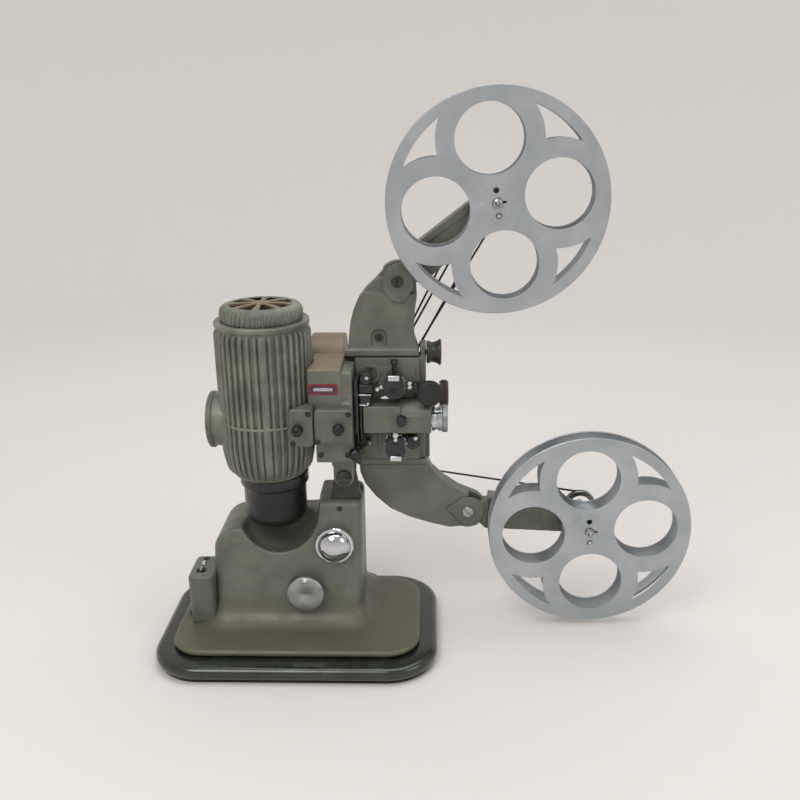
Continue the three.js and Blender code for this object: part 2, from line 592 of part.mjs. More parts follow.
function lowerArmPost() {
  const { x, z } = LOWER_KNEE;
  const leg = outline([53, 156], [53.7, 144], [57.9, 132.4], [67.7, 119.3], [80.6, 107.6], [97.8, 99.2],
    [117.1, 93.1],
    [134, 89], [x, z, KNEE_R, 250, 425], [142.2, 125.9], [128.2, 135.7], [118.2, 145.4], [113, 156]);
  const foot = box(50.8, 113, ARM.front, ARM.back, 150.5, CASE.bottom - GAP);
  const lap = rod('y', x, z, 21.4, ARM.front - 1, ARM.split + GAP, 20);
  const bolt = rod('y', x, z, 3.4, 30, 60, 10);
  const shaftRoom = rod('y', TAKEUP_SHAFT.x, TAKEUP_SHAFT.z, 3.6, 36, 60, 10);
  return cut(join(plateY(leg, ARM.front, ARM.back), foot), lap, bolt, shaftRoom);
}

// An outer arm: front cheek on the knee, full-depth beam, and the spindle's bearing at the far end.
function outerArm(knee, reel, cheek, halfAtKnee, halfAtHub) {
  const angle = Math.atan2(reel.z - knee.z, reel.x - knee.x);
  const length = Math.hypot(reel.z - knee.z, reel.x - knee.x);
  const hub = 12;
  const beam = outline([KNEE_R + 1, -halfAtKnee], [length, 0, hub, -80, 80], [KNEE_R + 1, halfAtKnee]);
  const web = outline([0, -12], [KNEE_R + 2, -halfAtKnee], [KNEE_R + 2, halfAtKnee], [0, 12]);
  const drawn = (shape, front, back) => plateY(shape, front,
    back).rotateY(-angle).translate(knee.x, 0, knee.z);
  const solid = join(drawn(beam, ARM.front, ARM.back), drawn(web, ARM.front, ARM.split), cheek);
  const pocket = drawn(outline([KNEE_R + 6, 4 - halfAtKnee], [length - 16, 4 - halfAtHub],
    [length - 16, halfAtHub - 4],
    [KNEE_R + 6, halfAtKnee - 4]), ARM.split + 1, ARM.back + 1);
  return cut(solid, pocket, rod('y', knee.x, knee.z, 3.4, 20, 60, 10),
    rod('y', reel.x, reel.z, SPINDLE_R + 0.4, 20, 60, 12));
}

function upperArm() {
  const { x, z } = UPPER_KNEE;
  const cheek = plateY(outline([x + 2, z + 2, 13.8, 60, 150], [x - 13.4, z - 6], [x - 6, z - 16],
    [x + 1, z - 18.4],
    [x + 7, z - 16], [x + 14.4, z - 4]), ARM.front - 1.6, ARM.split);
  return outerArm(UPPER_KNEE, UPPER_REEL, cheek, 15, 11);
}

function lowerArm() {
  const { x, z } = LOWER_KNEE;
  const cheek = plateY(outline([x, z, 14.6, -110, 120], [x - 20, z + 3]), ARM.front - 1.6, ARM.split);
  return outerArm(LOWER_KNEE, LOWER_REEL, cheek, 15.5, 11);
}

// Spindle with the reel's shoulder in front of the arm and the pulleys behind it.
function spindle(reel, pulleys, end) {
  const rear = pulleys.flatMap(([radius, middle]) => [[SPINDLE_R, middle - BELT.groove - 1],
    ...pulleyProfile(radius, middle), [SPINDLE_R, middle + BELT.groove + 1]]);
  return turned('y', reel.x, reel.z, [[0, 4.2], [1.6, 4.7], [2.3, 6.2], [1.8, 7.6], [SPINDLE_R, 8.4],
    [SPINDLE_R, 30.3],
    [11.5, 30.3], [11.5, 32.4], [SPINDLE_R, 32.4], ...rear, [SPINDLE_R, end], [0, end]], 10);
}

// ---- reels --------------------------------------------------------------------------------------

// Flange outline about the origin: four round holes and, between them, four curved windows.
function flangeShape() {
  const circle = (cx, cy, r, sides) => Array.from({ length: sides }, (_, i) => {
    const a = i * 2 * Math.PI / sides;
    return new THREE.Vector2(cx + r * Math.cos(a), cy + r * Math.sin(a));
  });
  const shape = new THREE.Shape(circle(0, 0, REEL.radius, 48));
  const { outer, side } = REEL_WINDOW;
  const half = THREE.MathUtils.degToRad(45);
  const reach = Math.acos((outer ** 2 + REEL.holeAt ** 2 - side ** 2) / (2 * outer * REEL.holeAt));
  for (let i = 0; i < 4; i += 1) {
    const turn = i * Math.PI / 2;
    const centre = [REEL.holeAt * Math.cos(turn), REEL.holeAt * Math.sin(turn)];
    shape.holes.push(new THREE.Path(circle(...centre, REEL.hole, 12)));
    shape.holes.push(windowPath(turn + half, half - reach, centre));
  }
  return shape;
}

// One window: an arc near the rim and two arcs struck from the centres of the holes beside it.
function windowPath(middle, spread, hole) {
  const { outer, side } = REEL_WINDOW;
  const [hx, hy] = hole;
  const mirror = ([px, py]) => {
    const a = 2 * middle - Math.atan2(py, px);
    return [Math.hypot(px, py) * Math.cos(a), Math.hypot(px, py) * Math.sin(a)];
  };
  const rim = Array.from({ length: 3 }, (_, i) => middle + (i - 1) * spread)
    .map((a) => [outer * Math.cos(a), outer * Math.sin(a)]);
  const from = Math.atan2(rim[0][1] - hy, rim[0][0] - hx);
  const inner = REEL.holeAt * Math.SQRT1_2 + Math.sqrt(side ** 2 - (REEL.holeAt * Math.SQRT1_2) ** 2);
  const to = Math.atan2(inner * Math.sin(middle) - hy, inner * Math.cos(middle) - hx);
  const sweep = Math.atan2(Math.sin(to - from), Math.cos(to - from));
  const flank = Array.from({ length: 4 }, (_, i) => from + i * sweep / 3)
    .map((a) => [hx + side * Math.cos(a), hy + side * Math.sin(a)]);
  const back = flank.slice(0, -1).map(mirror).reverse();
  const points = [...rim.slice(1, -1), ...back.reverse(), ...flank.slice().reverse()];
  return new THREE.Path(points.map(([px, py]) => new THREE.Vector2(px, py)));
}

// A reel: two pierced flanges riveted to a hollow core, with drive holes beside the bore.
function reel({ x, z, turn }) {
  const front = FILM_Y - REEL.gap / 2 - REEL.sheet;
  const back = FILM_Y + REEL.gap / 2 + REEL.sheet;
  const flange = (low) => plateY(flangeShape(), low, low + REEL.sheet);
  const core = rod('y', 0, 0, REEL.core, front + 0.2, back - 0.2, 24);
  const bore = rod('y', 0, 0, SPINDLE_R + GAP, front - 1, back + 1, 12);
  const drive = [10, -10].map((h) => rod('y', 0, h, 2.35, front - 1, back + 1, 12));
  return cut(join(flange(front), flange(back - REEL.sheet), core), bore, ...drive)
    .rotateY(-THREE.MathUtils.degToRad(turn)).translate(x, 0, z);
}

// ---- assembly -----------------------------------------------------------------------------------

// A belt round two shafts that lie along Y.
function belt(y, from, fromRadius, to, toRadius) {
  return plateY(beltRing([from.x, from.z], fromRadius, [to.x, to.z], toRadius), y - BELT.half, y + BELT.half);
}

// Shaft with a plain weight disc between its two pulleys. The disc is a guess.
function takeupPulley() {
  const { radius, front, back } = TAKEUP_DISC;
  const reach = BELT.groove + 1;
  const chain = [[3.2, CHAIN_BELT.y - reach], ...pulleyProfile(CHAIN_BELT.radius, CHAIN_BELT.y),
    [3.2, CHAIN_BELT.y + reach]];
  const disc = [[3.2, front], [radius, front], [radius, back], [3.2, back]];
  const takeup = [[3.2, TAKEUP_BELT.y - reach], ...pulleyProfile(TAKEUP_BELT.shaft, TAKEUP_BELT.y),
    [3.2, TAKEUP_BELT.y + reach]];
  return turned('y', TAKEUP_SHAFT.x, TAKEUP_SHAFT.z, [[0, 37], [3.2, 37], ...chain, ...disc, ...takeup,
    [3.2, 72], [0, 72]], 12);
}


add('base_pad', plateZ(baseRect(BASE.width, BASE.depth, BASE.corner, 4), 0, 2), FELT);
add('base_molding', baseMolding(), RIM);
add('base_casting', baseCasting(), OLIVE);
add('power_inlet', powerInlet(), OLIVE);
add('tilt_bracket', tiltBracket(), DARK);
add('tilt_pin', tiltPin(), STEEL);
add('speed_resistor', speedResistor(), CERAMIC);
add('lamp_switch_lever', lampSwitchLever(), CHROME);
add('speed_knob', speedKnob(), ALUMINIUM);
add('tilt_knob', tiltKnob(), CHROME);

add('lamp_house', lampHouse(), OLIVE);
add('lamp_house_cap', lampHouseCap(), OLIVE);
add('mirror_housing', mirrorHousing(), OLIVE);
add('reflector', reflector(), CHROME);
add('lamp_socket', lampSocket(), BLACK);
add('lamp_bulb', lampBulb(), GLASS);

add('shutter_housing', shutterHousing(), OLIVE);
add('condenser_box', condenserBox(), OLIVE);
add('gate_cover', gateCover(), OLIVE);
add('condenser_knob', thumbKnob(7.3, 203, -16), BLACK);
add('cover_knob', thumbKnob(41, 203, -14), BLACK);
add('condenser_lens', condenserLens(), GLASS);

add('gear_case', gearCase(), OLIVE);
add('mechanism_plate', mechanismPlate(), OLIVE);
add('gate_plate', gatePlate(), BLACK);
add('pressure_plate', pressurePlate(), STEEL);
add('claw', claw(), STEEL);
add('upper_sprocket',
  sprocket(UPPER_SHAFT, [[REWIND_BELT.shaft, REWIND_BELT.y], [FEED_BELT.shaft, FEED_BELT.y]], 76), STEEL);
add('lower_sprocket', sprocket(LOWER_SHAFT, [[CHAIN_BELT.radius, CHAIN_BELT.y]], 61), STEEL);
add('upper_sprocket_gear', wormWheel(UPPER_SHAFT), BRASS);
add('lower_sprocket_gear', wormWheel(LOWER_SHAFT), BRASS);
add('upper_sprocket_guard', sprocketGuard(UPPER_SHAFT, 1), DARK);
add('lower_sprocket_guard', sprocketGuard(LOWER_SHAFT, -1), DARK);
add('main_shaft', mainShaft(), STEEL);
add('shutter', shutter(), DARK);
add('clutch_lever', clutchLever(), BLACK);

add('lens_carrier', lensCarrier(), OLIVE);
add('lens_barrel', lensBarrel(), CHROME);
add('focus_knob', focusKnob(), BLACK);
add('lens_lock_screw', lensLockScrew(), BLACK);
add('framer_knob', framerKnob(), DARK);

add('blower_housing', blowerHousing(), OLIVE);
add('motor_housing', motorHousing(), OLIVE);
add('motor_rotor', motorRotor(), STEEL);
add('fan_wheel', fanWheel(), ALUMINIUM);
add('hand_turn_knob', handTurnKnob(), BLACK);

add('upper_arm_post', upperArmPost(), OLIVE);
add('lower_arm_post', lowerArmPost(), OLIVE);
add('upper_arm', upperArm(), OLIVE);
add('lower_arm', lowerArm(), OLIVE);
add('upper_spindle',
  spindle(UPPER_REEL, [[REWIND_BELT.spindle, REWIND_BELT.y], [FEED_BELT.spindle, FEED_BELT.y]], 76), STEEL);
add('lower_spindle', spindle(LOWER_REEL, [[TAKEUP_BELT.spindle, TAKEUP_BELT.y]], 72), STEEL);
add('takeup_pulley', takeupPulley(), STEEL);
add('upper_reel', reel(UPPER_REEL), ALUMINIUM);
add('lower_reel', reel(LOWER_REEL), ALUMINIUM);

add('feed_belt', belt(FEED_BELT.y, UPPER_SHAFT, FEED_BELT.shaft, UPPER_REEL, FEED_BELT.spindle), RUBBER);
add('rewind_belt', belt(REWIND_BELT.y, UPPER_SHAFT, REWIND_BELT.shaft, UPPER_REEL,
  REWIND_BELT.spindle), RUBBER);
add('takeup_belt', belt(TAKEUP_BELT.y, TAKEUP_SHAFT, TAKEUP_BELT.shaft, LOWER_REEL,
  TAKEUP_BELT.spindle), RUBBER);
add('takeup_drive_belt', belt(CHAIN_BELT.y, LOWER_SHAFT, CHAIN_BELT.radius, TAKEUP_SHAFT,
  CHAIN_BELT.radius), RUBBER);
const motorLoop = beltRing([MAIN_SHAFT.y, MAIN_SHAFT.z], MOTOR_BELT.radius, [MOTOR.y, MOTOR.z],
  MOTOR_BELT.radius);
add('motor_belt', plateX(motorLoop, MOTOR_BELT.x - BELT.half, MOTOR_BELT.x + BELT.half), RUBBER);

export default projector;
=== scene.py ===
import math

import bmesh
import bpy
from mathutils import Euler, Matrix, Vector


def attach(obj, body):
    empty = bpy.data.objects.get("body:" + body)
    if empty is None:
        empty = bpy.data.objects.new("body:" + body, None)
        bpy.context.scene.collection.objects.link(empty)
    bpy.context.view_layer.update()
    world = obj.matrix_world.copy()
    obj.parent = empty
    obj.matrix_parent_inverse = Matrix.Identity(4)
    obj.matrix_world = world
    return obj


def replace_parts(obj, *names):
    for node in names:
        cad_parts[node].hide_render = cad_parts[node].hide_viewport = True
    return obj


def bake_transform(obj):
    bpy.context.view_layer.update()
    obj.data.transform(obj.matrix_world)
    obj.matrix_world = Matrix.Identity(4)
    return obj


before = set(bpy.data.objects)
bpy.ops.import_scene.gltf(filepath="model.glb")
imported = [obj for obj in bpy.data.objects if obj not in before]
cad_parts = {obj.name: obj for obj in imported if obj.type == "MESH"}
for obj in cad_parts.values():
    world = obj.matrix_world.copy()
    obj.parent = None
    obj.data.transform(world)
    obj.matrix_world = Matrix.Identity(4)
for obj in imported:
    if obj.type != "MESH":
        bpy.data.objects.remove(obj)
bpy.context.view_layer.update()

# ---- rim of the base --------------------------------------------------------------------------
# A cast bullnose moulding in gloss enamel, almost black. The deck plate sits on it.
# Shapes are drawn in millimetres in the projector's own frame and shrunk to metres at the end.


def srgb(red, green, blue):
    """A screen colour, 0 to 255, as the linear colour a shader takes."""
    linear = [((c / 255 + 0.055) / 1.055) ** 2.4 if c > 10 else c / 3294 for c in (red, green, blue)]
    return (*linear, 1)


def surface(name, light, dark, blotch, metallic, rough, grain, depth, coat=0.0, cells=False, dust_and_warm_light=None):
    """A finish that drifts between two colours and two roughnesses, with a grain raised on it."""
    made = bpy.data.materials.new(name)
    made.use_nodes = True
    nodes, links = made.node_tree.nodes, made.node_tree.links
    shader = nodes["Principled BSDF"]
    shader.inputs["Metallic"].default_value = metallic
    shader.inputs["Coat Weight"].default_value = coat
    shader.inputs["Coat Roughness"].default_value = 0.15
    place = nodes.new("ShaderNodeTexCoord").outputs["Object"]

    def noise(scale, detail):
        node = nodes.new("ShaderNodeTexNoise")
        node.inputs["Scale"].default_value = scale
        node.inputs["Detail"].default_value = detail
        node.inputs["Roughness"].default_value = 0.6
        links.new(place, node.inputs["Vector"])
        return node.outputs["Fac"]

    drift = noise(blotch, 8)
    ramp = nodes.new("ShaderNodeValToRGB")
    ramp.color_ramp.elements[0].position = 0.36
    ramp.color_ramp.elements[1].position = 0.64
    ramp.color_ramp.elements[0].color = dark
    ramp.color_ramp.elements[1].color = light
    links.new(drift, ramp.inputs["Fac"])
    # Optional tint by height: partly dust, partly painted warm light on up-facing surfaces. No tint at the
    # first height, full tint at the second.
    if dust_and_warm_light:
        colour, clear, full_tint_at = dust_and_warm_light
        height = nodes.new("ShaderNodeSeparateXYZ")
        links.new(place, height.inputs["Vector"])
        height_tint = nodes.new("ShaderNodeMapRange")
        height_tint.inputs["From Min"].default_value = clear
        height_tint.inputs["From Max"].default_value = full_tint_at
        links.new(height.outputs["Z"], height_tint.inputs["Value"])
        blend = nodes.new("ShaderNodeMix")
        blend.data_type = "RGBA"
        blend.inputs["B"].default_value = colour
        links.new(height_tint.outputs["Result"], blend.inputs["Factor"])
        links.new(ramp.outputs["Color"], blend.inputs["A"])
        links.new(blend.outputs["Result"], shader.inputs["Base Color"])
    else:
        links.new(ramp.outputs["Color"], shader.inputs["Base Color"])
    wear = nodes.new("ShaderNodeMapRange")
    wear.inputs["From Min"].default_value = 0.35
    wear.inputs["From Max"].default_value = 0.65
    wear.inputs["To Min"].default_value = rough[0]
    wear.inputs["To Max"].default_value = rough[1]
    links.new(noise(blotch * 2.3, 5), wear.inputs["Value"])
    links.new(wear.outputs["Result"], shader.inputs["Roughness"])
    raised = nodes.new("ShaderNodeBump")
    raised.inputs["Distance"].default_value = depth
    if cells:
        cell = nodes.new("ShaderNodeTexVoronoi")
        cell.feature = "SMOOTH_F1"
        cell.inputs["Scale"].default_value = grain
        links.new(place, cell.inputs["Vector"])
        links.new(cell.outputs["Distance"], raised.inputs["Height"])
    else:
        links.new(noise(grain, 3), raised.inputs["Height"])
    links.new(raised.outputs["Normal"], shader.inputs["Normal"])
    return made


def linked(name, mesh):
    made = bpy.data.objects.new(name, mesh)
    bpy.context.scene.collection.objects.link(made)
    return made


def from_rings(name, rings, wrap=False):
    """A closed skin over rings of points. With `wrap` it closes on itself, else its ends are capped."""
    shape = bmesh.new()
    rows = [[shape.verts.new(p) for p in ring] for ring in rings]
    pairs = list(zip(rows, rows[1:])) + ([(rows[-1], rows[0])] if wrap else [])
    for a, b in pairs:
        count = max(len(a), len(b))
        for i in range(count):
            corners = [a[i % len(a)], a[(i + 1) % len(a)], b[(i + 1) % len(b)], b[i % len(b)]]
            shape.faces.new(list(dict.fromkeys(corners)))
    if not wrap:
        for row in (rows[0], rows[-1]):
            if len(row) > 2:
                shape.faces.new(row)
    bmesh.ops.recalc_face_normals(shape, faces=shape.faces)
    mesh = bpy.data.meshes.new(name)
    shape.to_mesh(mesh)
    shape.free()
    return linked(name, mesh)


def rounded(x0, x1, y0, y1, corner, steps=10):
    """The outline of a rectangle with round corners, anticlockwise."""
    points = []
    for cx, cy, turn in ((x1 - corner, y1 - corner, 0), (x0 + corner, y1 - corner, 90),
                         (x0 + corner, y0 + corner, 180), (x1 - corner, y0 + corner, 270)):
        for i in range(steps + 1):
            a = math.radians(turn + 90 * i / steps)
            points.append((cx + corner * math.cos(a), cy + corner * math.sin(a)))
    return points


def settled(piece):
    """Turns live modifiers into a plain mesh."""
    bpy.context.view_layer.update()
    result = bpy.data.meshes.new_from_object(piece.evaluated_get(bpy.context.evaluated_depsgraph_get()))
    piece.modifiers.clear()
    piece.data = result
    return piece


def placed(piece, body, slot, look, *nodes, crease=32):
    """Shrinks a finished piece to metres, shades and paints it, and hangs it on its body."""
    mesh = piece.data
    mesh.transform(Matrix.Scale(0.001, 4))
    mesh.materials.clear()
    mesh.materials.append(look)
    mesh.shade_smooth()
    mesh.set_sharp_from_angle(angle=math.radians(crease))
    if nodes:
        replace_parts(piece, *nodes)
    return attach(piece, body)


RIM_SIZE = (245, 162, 43)
rim_enamel = surface("rim_enamel", srgb(52, 60, 52), srgb(34, 39, 35), 60, 0.45, (0.14, 0.26), 420, 0.00016,
                     coat=0.6, cells=True)


def base_ring(inset, z, size=RIM_SIZE):
    width, depth, corner = size
    return [(x, y, z) for x, y in rounded(inset - width / 2, width / 2 - inset, inset - depth / 2,
                                          depth / 2 - inset,
                                          max(corner - inset, 2), 16)]


NOSE = 6
rim_section = [(30, 2.3)] + [(NOSE * (1 - math.cos(math.radians(a))), 8.3 + NOSE * math.sin(math.radians(a)))
                             for a in range(-90, 91, 10)] + [(12, 14.6), (30, 14.6)]
rim = from_rings("base_rim", [base_ring(inset, z) for inset, z in rim_section], wrap=True)
placed(rim, "base", "rim_paint", rim_enamel, "base_molding")

# ---- base casting -----------------------------------------------------------------------------
# Deck plate and hollow pedestal in one iron casting, in olive hammer paint. The pedestal flares into
# the deck, its front leans back, and its left top is scooped out under the lamp socket.

olive_paint = surface("olive_paint", srgb(110, 114, 101), srgb(92, 96, 84), 38, 0.2, (0.4, 0.56), 1000,
                      0.00016, coat=0.12)
DECK = (215, 129, 29)
DECK_TOP = 21
PEDESTAL = {"left": -76, "right": 56, "rear": 60, "top": 127, "shoulder": 103, "slope": 0.244}
SOCKET_X, FILM_Y, OPTIC_Z = -21, 20.4, 199.2


def solid(points, low, high, axis="y"):
    """A straight-sided solid: an outline drawn across an axis and carried along it."""
    order = {"x": lambda u, v, w: (w, u, v), "y": lambda u, v, w: (u, w, v), "z": lambda u, v,
             w: (u, v, w)}[axis]
    return from_rings("solid", [[order(u, v, w) for u, v in points] for w in (low, high)])


def block(x0, x1, y0, y1, z0, z1):
    return solid([(x0, y0), (x1, y0), (x1, y1), (x0, y1)], z0, z1, "z")


def turned(axis, a, b, profile, steps=72, name="turned"):
    """A turned piece: (radius, place) pairs along an axis that crosses the other two at a, b."""
    order = {"x": lambda u, v, w: (w, a + u, b + v), "y": lambda u, v, w: (a + u, w, b + v),
             "z": lambda u, v, w: (a + u, b + v, w)}[axis]
    rings = []
    for radius, w in profile:
        if radius < 1e-6:
            rings.append([order(0, 0, w)])
        else:
            rings.append([order(radius * math.cos(math.tau * i / steps),
                                radius * math.sin(math.tau * i / steps), w)
                          for i in range(steps)])
    return from_rings(name, rings, wrap=profile[0][0] > 0 and profile[-1][0] > 0)


def outline(*steps, chord=5):
    """Points, and arcs given as (centre, centre, radius, from, to) in degrees."""
    points = []
    for step in steps:
        if len(step) == 2:
            points.append(tuple(step))
        else:
            u, v, radius, a, b = step
            count = max(2, round(abs(b - a) / chord))
            points += [(u + radius * math.cos(math.radians(a + (b - a) * i / count)),
                        v + radius * math.sin(math.radians(a + (b - a) * i / count)))
                        for i in range(count + 1)]
    return points


def joined(*pieces):
    """One object out of several."""
    shape = bmesh.new()
    for piece in pieces:
        shape.from_mesh(piece.data)
    mesh = bpy.data.meshes.new(pieces[0].name)
    shape.to_mesh(mesh)
    shape.free()
    for piece in pieces:
        bpy.data.objects.remove(piece)
    return linked(mesh.name, mesh)


def remeshed(piece, voxel, passes):
    remesh = piece.modifiers.new("skin", "REMESH")
    remesh.mode = "VOXEL"
    remesh.voxel_size = voxel
    remesh.use_smooth_shade = True
    if passes:
        relax = piece.modifiers.new("relax", "SMOOTH")
        relax.iterations = passes
        relax.factor = 0.5
    return settled(piece)


def cast(name, solids, cuts=(), voxel=0.7, soft=6):
    """A sand casting: solids that run into each other, with cuts taken out, and every edge rounded over."""
    body = remeshed(joined(*solids), voxel, 0)
    for tool in cuts:
        cut = body.modifiers.new("cut", "BOOLEAN")
        cut.operation = "DIFFERENCE"
        cut.solver = "MANIFOLD"
        cut.object = tool
    settled(body)
    for tool in cuts:
        bpy.data.objects.remove(tool)
    body = remeshed(body, voxel, soft)
    body.name = name
    return body


def pedestal_ring(z):
    climb = min(max(z - DECK_TOP, 0), 16)
    flare = 16 - math.sqrt(256 - (16 - climb) ** 2)
    sink = max(z - (PEDESTAL["top"] - 6), 0)
    tuck = 6 - math.sqrt(36 - sink ** 2)
    front = -2 - (91 - z) * PEDESTAL["slope"]
    grow = flare - tuck
    corner = 0.3 * (PEDESTAL["rear"] - front) / 2 + grow * 0.5
    return [(x, y, z) for x, y in rounded(PEDESTAL["left"] - grow, PEDESTAL["right"] + grow, front - grow,
                                          PEDESTAL["rear"] + grow, corner, 10)]


shoulder = PEDESTAL["shoulder"]
left = PEDESTAL["left"]
base_casting = cast(
    "base_casting",
    [from_rings("deck", [base_ring(inset, z, DECK) for inset, z in ((1.6, 15.3), (0, 16.5), (0, 18.6),
            (0.7, 20.3), (2.4, 21))]),
     from_rings("pedestal", [pedestal_ring(DECK_TOP - 1 + i * (PEDESTAL["top"] - DECK_TOP + 1) / 60)
                             for i in range(61)])],
    [solid(outline((-100, 78), (left, 84), (left + 22, shoulder - 22, 22, 165, 95), (14, shoulder + 2),
                   (19, PEDESTAL["top"] + 5), (-100, PEDESTAL["top"] + 5)), -60, 100),
     turned("z", SOCKET_X + 4, FILM_Y - 6, [(0, 78)] + [(36 * math.cos(math.radians(a)), 114
             + 36 * math.sin(math.radians(a)))
                                                      for a in range(-80, 1, 8)] + [(36, 140), (0, 140)])],
    voxel=1.1, soft=26)
# The deck and the foot of the pedestal turn brown-olive below 50 mm, fully below 23 mm: partly dust, partly
# painted warm light on the up-facing deck.
dusty_paint = surface("dusty_paint", srgb(110, 114, 101), srgb(92, 96, 84), 38, 0.2, (0.4, 0.56), 1000,
                      0.00016, coat=0.12,
                      dust_and_warm_light=(srgb(93, 91, 76), 0.05, 0.023))
placed(base_casting, "base", "olive_paint", dusty_paint, "base_casting", crease=60)

# ---- power inlet and lamp switch --------------------------------------------------------------
# A cast block against the left of the pedestal. Two brass pins stand in its socket, and the chrome
# lamp switch comes up through a slot in its top.

inlet = cast("power_inlet", [solid(rounded(-96, -74, -20, 20, 4), 21.1, 66, "z")],
             [block(-97, -84, -10, 10, 34, 52), block(-91, -83, -10, -2, 58, 67)], voxel=0.6, soft=5)
placed(inlet, "base", "olive_paint", olive_paint, "power_inlet", crease=60)
brass = surface("brass", srgb(196, 160, 92), srgb(160, 126, 70), 90, 1, (0.25, 0.4), 2500, 0.00002)
chrome = surface("chrome", srgb(214, 216, 219), srgb(196, 199, 203), 40, 1, (0.05, 0.12), 900, 0.000006)
pins = joined(*[turned("x", y, 43, [(0, -94.5), (1.9, -94), (2.2, -93), (2.2, -84), (0, -84)], 24)
                for y in (-5, 5)])
pins.name = "inlet_pins"
placed(pins, "base", "brass", brass)
lever = turned("z", 0, 0, [(0, -6), (1.3, -5.8), (1.5, 2), (1.2, 5), (1.5, 6.4), (2.3, 8.2), (2, 10),
                           (0, 10.8)], 32, "lamp_switch_lever")
lever.data.transform(Matrix.Translation((-87, -6, 65)) @ Matrix.Rotation(math.radians(24), 4, "Y"))
placed(lever, "switch_lever", "chrome", chrome, "lamp_switch_lever")

# ---- speed and tilt knobs ---------------------------------------------------------------------
# The speed knob is a flat turned aluminium disc with a knurled edge. The tilt lock is a polished
# chrome dome on a collar. Both are held by a shaft through the pedestal's front.


def wired(name, *sockets):
    """A geometry tree whose first input is the piece, followed by named inputs."""
    tree = bpy.data.node_groups.new(name, "GeometryNodeTree")
    tree.interface.new_socket("Piece", in_out="INPUT", socket_type="NodeSocketGeometry")
    for label, kind in sockets:
        tree.interface.new_socket(label, in_out="INPUT", socket_type="NodeSocket" + kind)
    tree.interface.new_socket("Mesh", in_out="OUTPUT", socket_type="NodeSocketGeometry")

    def node(kind, **inputs):
        made = tree.nodes.new(kind)
        for label, value in inputs.items():
            socket = made.inputs[label.replace("_", " ")]
            if isinstance(value, bpy.types.NodeSocket):
                tree.links.new(value, socket)
            else:
                socket.default_value = value
        return made

    return tree, node, tree.nodes.new("NodeGroupInput").outputs


def ended(tree, node, shape, look):
    real = node("GeometryNodeRealizeInstances", Geometry=shape)
    painted = node("GeometryNodeSetMaterial", Geometry=real.outputs[0], Material=look)
    tree.links.new(painted.outputs[0], tree.nodes.new("NodeGroupOutput").inputs[0])
    return tree


def ring_tree():
    """Repeats a piece about the Z axis."""
    tree, node, given = wired("ring_of", ("Count", "Int"), ("Sweep", "Float"), ("Look", "Material"))
    spots = node("GeometryNodePoints", Count=given["Count"])
    share = node("ShaderNodeMath")
    share.operation = "DIVIDE"
    tree.links.new(given["Sweep"], share.inputs[0])
    tree.links.new(given["Count"], share.inputs[1])
    angle = node("ShaderNodeMath")
    angle.operation = "MULTIPLY"
    tree.links.new(node("GeometryNodeInputIndex").outputs[0], angle.inputs[0])
    tree.links.new(share.outputs[0], angle.inputs[1])
    turn = node("ShaderNodeCombineXYZ", Z=angle.outputs[0])
    copies = node("GeometryNodeInstanceOnPoints", Points=spots.outputs[0], Instance=given["Piece"])
    tree.links.new(turn.outputs[0], copies.inputs["Rotation"])
    return ended(tree, node, copies.outputs[0], given["Look"])


def grown(name, piece, tree, **inputs):
    """Runs a tree on a piece and keeps the result as a plain mesh."""
    modifier = piece.modifiers.new("grow", "NODES")
    modifier.node_group = tree
    for item in tree.interface.items_tree:
        if item.in_out == "INPUT" and item.name in inputs:
            modifier[item.identifier] = inputs[item.name]
    settled(piece)
    piece.name = name
    return piece


RING = ring_tree()
TO_Y = Matrix.Rotation(math.radians(90), 4, "X")    # +Z of a ring becomes -Y, towards the operator
TO_X = Matrix.Rotation(math.radians(90), 4, "Y")    # +Z of a ring becomes +X


def about(piece, axis, place):
    """Stands a ring that was made about Z on the axis and place where it belongs."""
    piece.data.transform(Matrix.Translation(place) @ {"x": TO_X, "y": TO_Y, "z": Matrix.Identity(4)}[axis])
    return piece


def knurl(radius, low, high, count, look, depth=0.5):
    """The straight knurling of a knob's edge, as a ring of small ridges about Z."""
    half = 0.62 * math.pi * radius / count
    ridge = from_rings("ridge", [[(radius - 1, -half, z), (radius - 1, half, z), (radius + d, half * 0.25, z),
                                  (radius + d, -half * 0.25, z)]
                                 for z, d in ((low, 0), (low + 0.4, depth), (high - 0.4, depth), (high, 0))])
    return grown("knurl", ridge, RING, Count=count, Sweep=math.tau, Look=look)


aluminium = surface("aluminium", srgb(158, 164, 168), srgb(140, 146, 151), 26, 1, (0.34, 0.46), 1400, 0.00001)
cast_aluminium = surface("cast_aluminium", srgb(176, 178, 178), srgb(150, 153, 155), 140, 1, (0.3, 0.5), 1100,
                         0.00006)
speed = turned("y", 7.8, 52.9, [(0, -16.2), (15, -16.2), (16.1, -17), (16.1, -24.5), (15.6, -25.1),
                                (15, -25.2),
                                (2, -25), (1.4, -24.7), (0, -24.7)], 96, "speed_knob")
shank = turned("y", 7.8, 52.9, [(0, 0), (3, 0), (3, -17), (0, -17)], 32)
ridges = about(knurl(16.2, 17.2, 24.2, 72, cast_aluminium, 0.5), "y", (7.8, 0, 52.9))
placed(joined(speed, shank, ridges), "speed_knob", "aluminium", cast_aluminium, "speed_knob")
stud = turned("y", 7.8, 66.2, [(0, -26.8), (1.6, -26.5), (2.4, -25.6), (2.4, -24), (0, -24)], 32,
              "speed_stud")
placed(stud, "speed_knob", "aluminium", chrome)
dome = turned("y", 32.6, 90.8, [(0, -18)] + [(14.2 * math.sin(math.radians(a)),
                                              -8 - 10 * math.cos(math.radians(a))) for a in range(6, 91, 6)]
              + [(14.6, -8.4), (16.3, -8.2), (17, -7.2), (16.6, -6.2), (14, -5.8), (3, -5.8), (3, 10),
                 (0, 10)], 96, "tilt_knob")
placed(dome, "tilt_knob", "chrome", chrome, "tilt_knob")

# ---- tilt bracket -----------------------------------------------------------------------------
# A steel lug bolted on the pedestal. The head's two lugs straddle it on one pin with a slotted head.

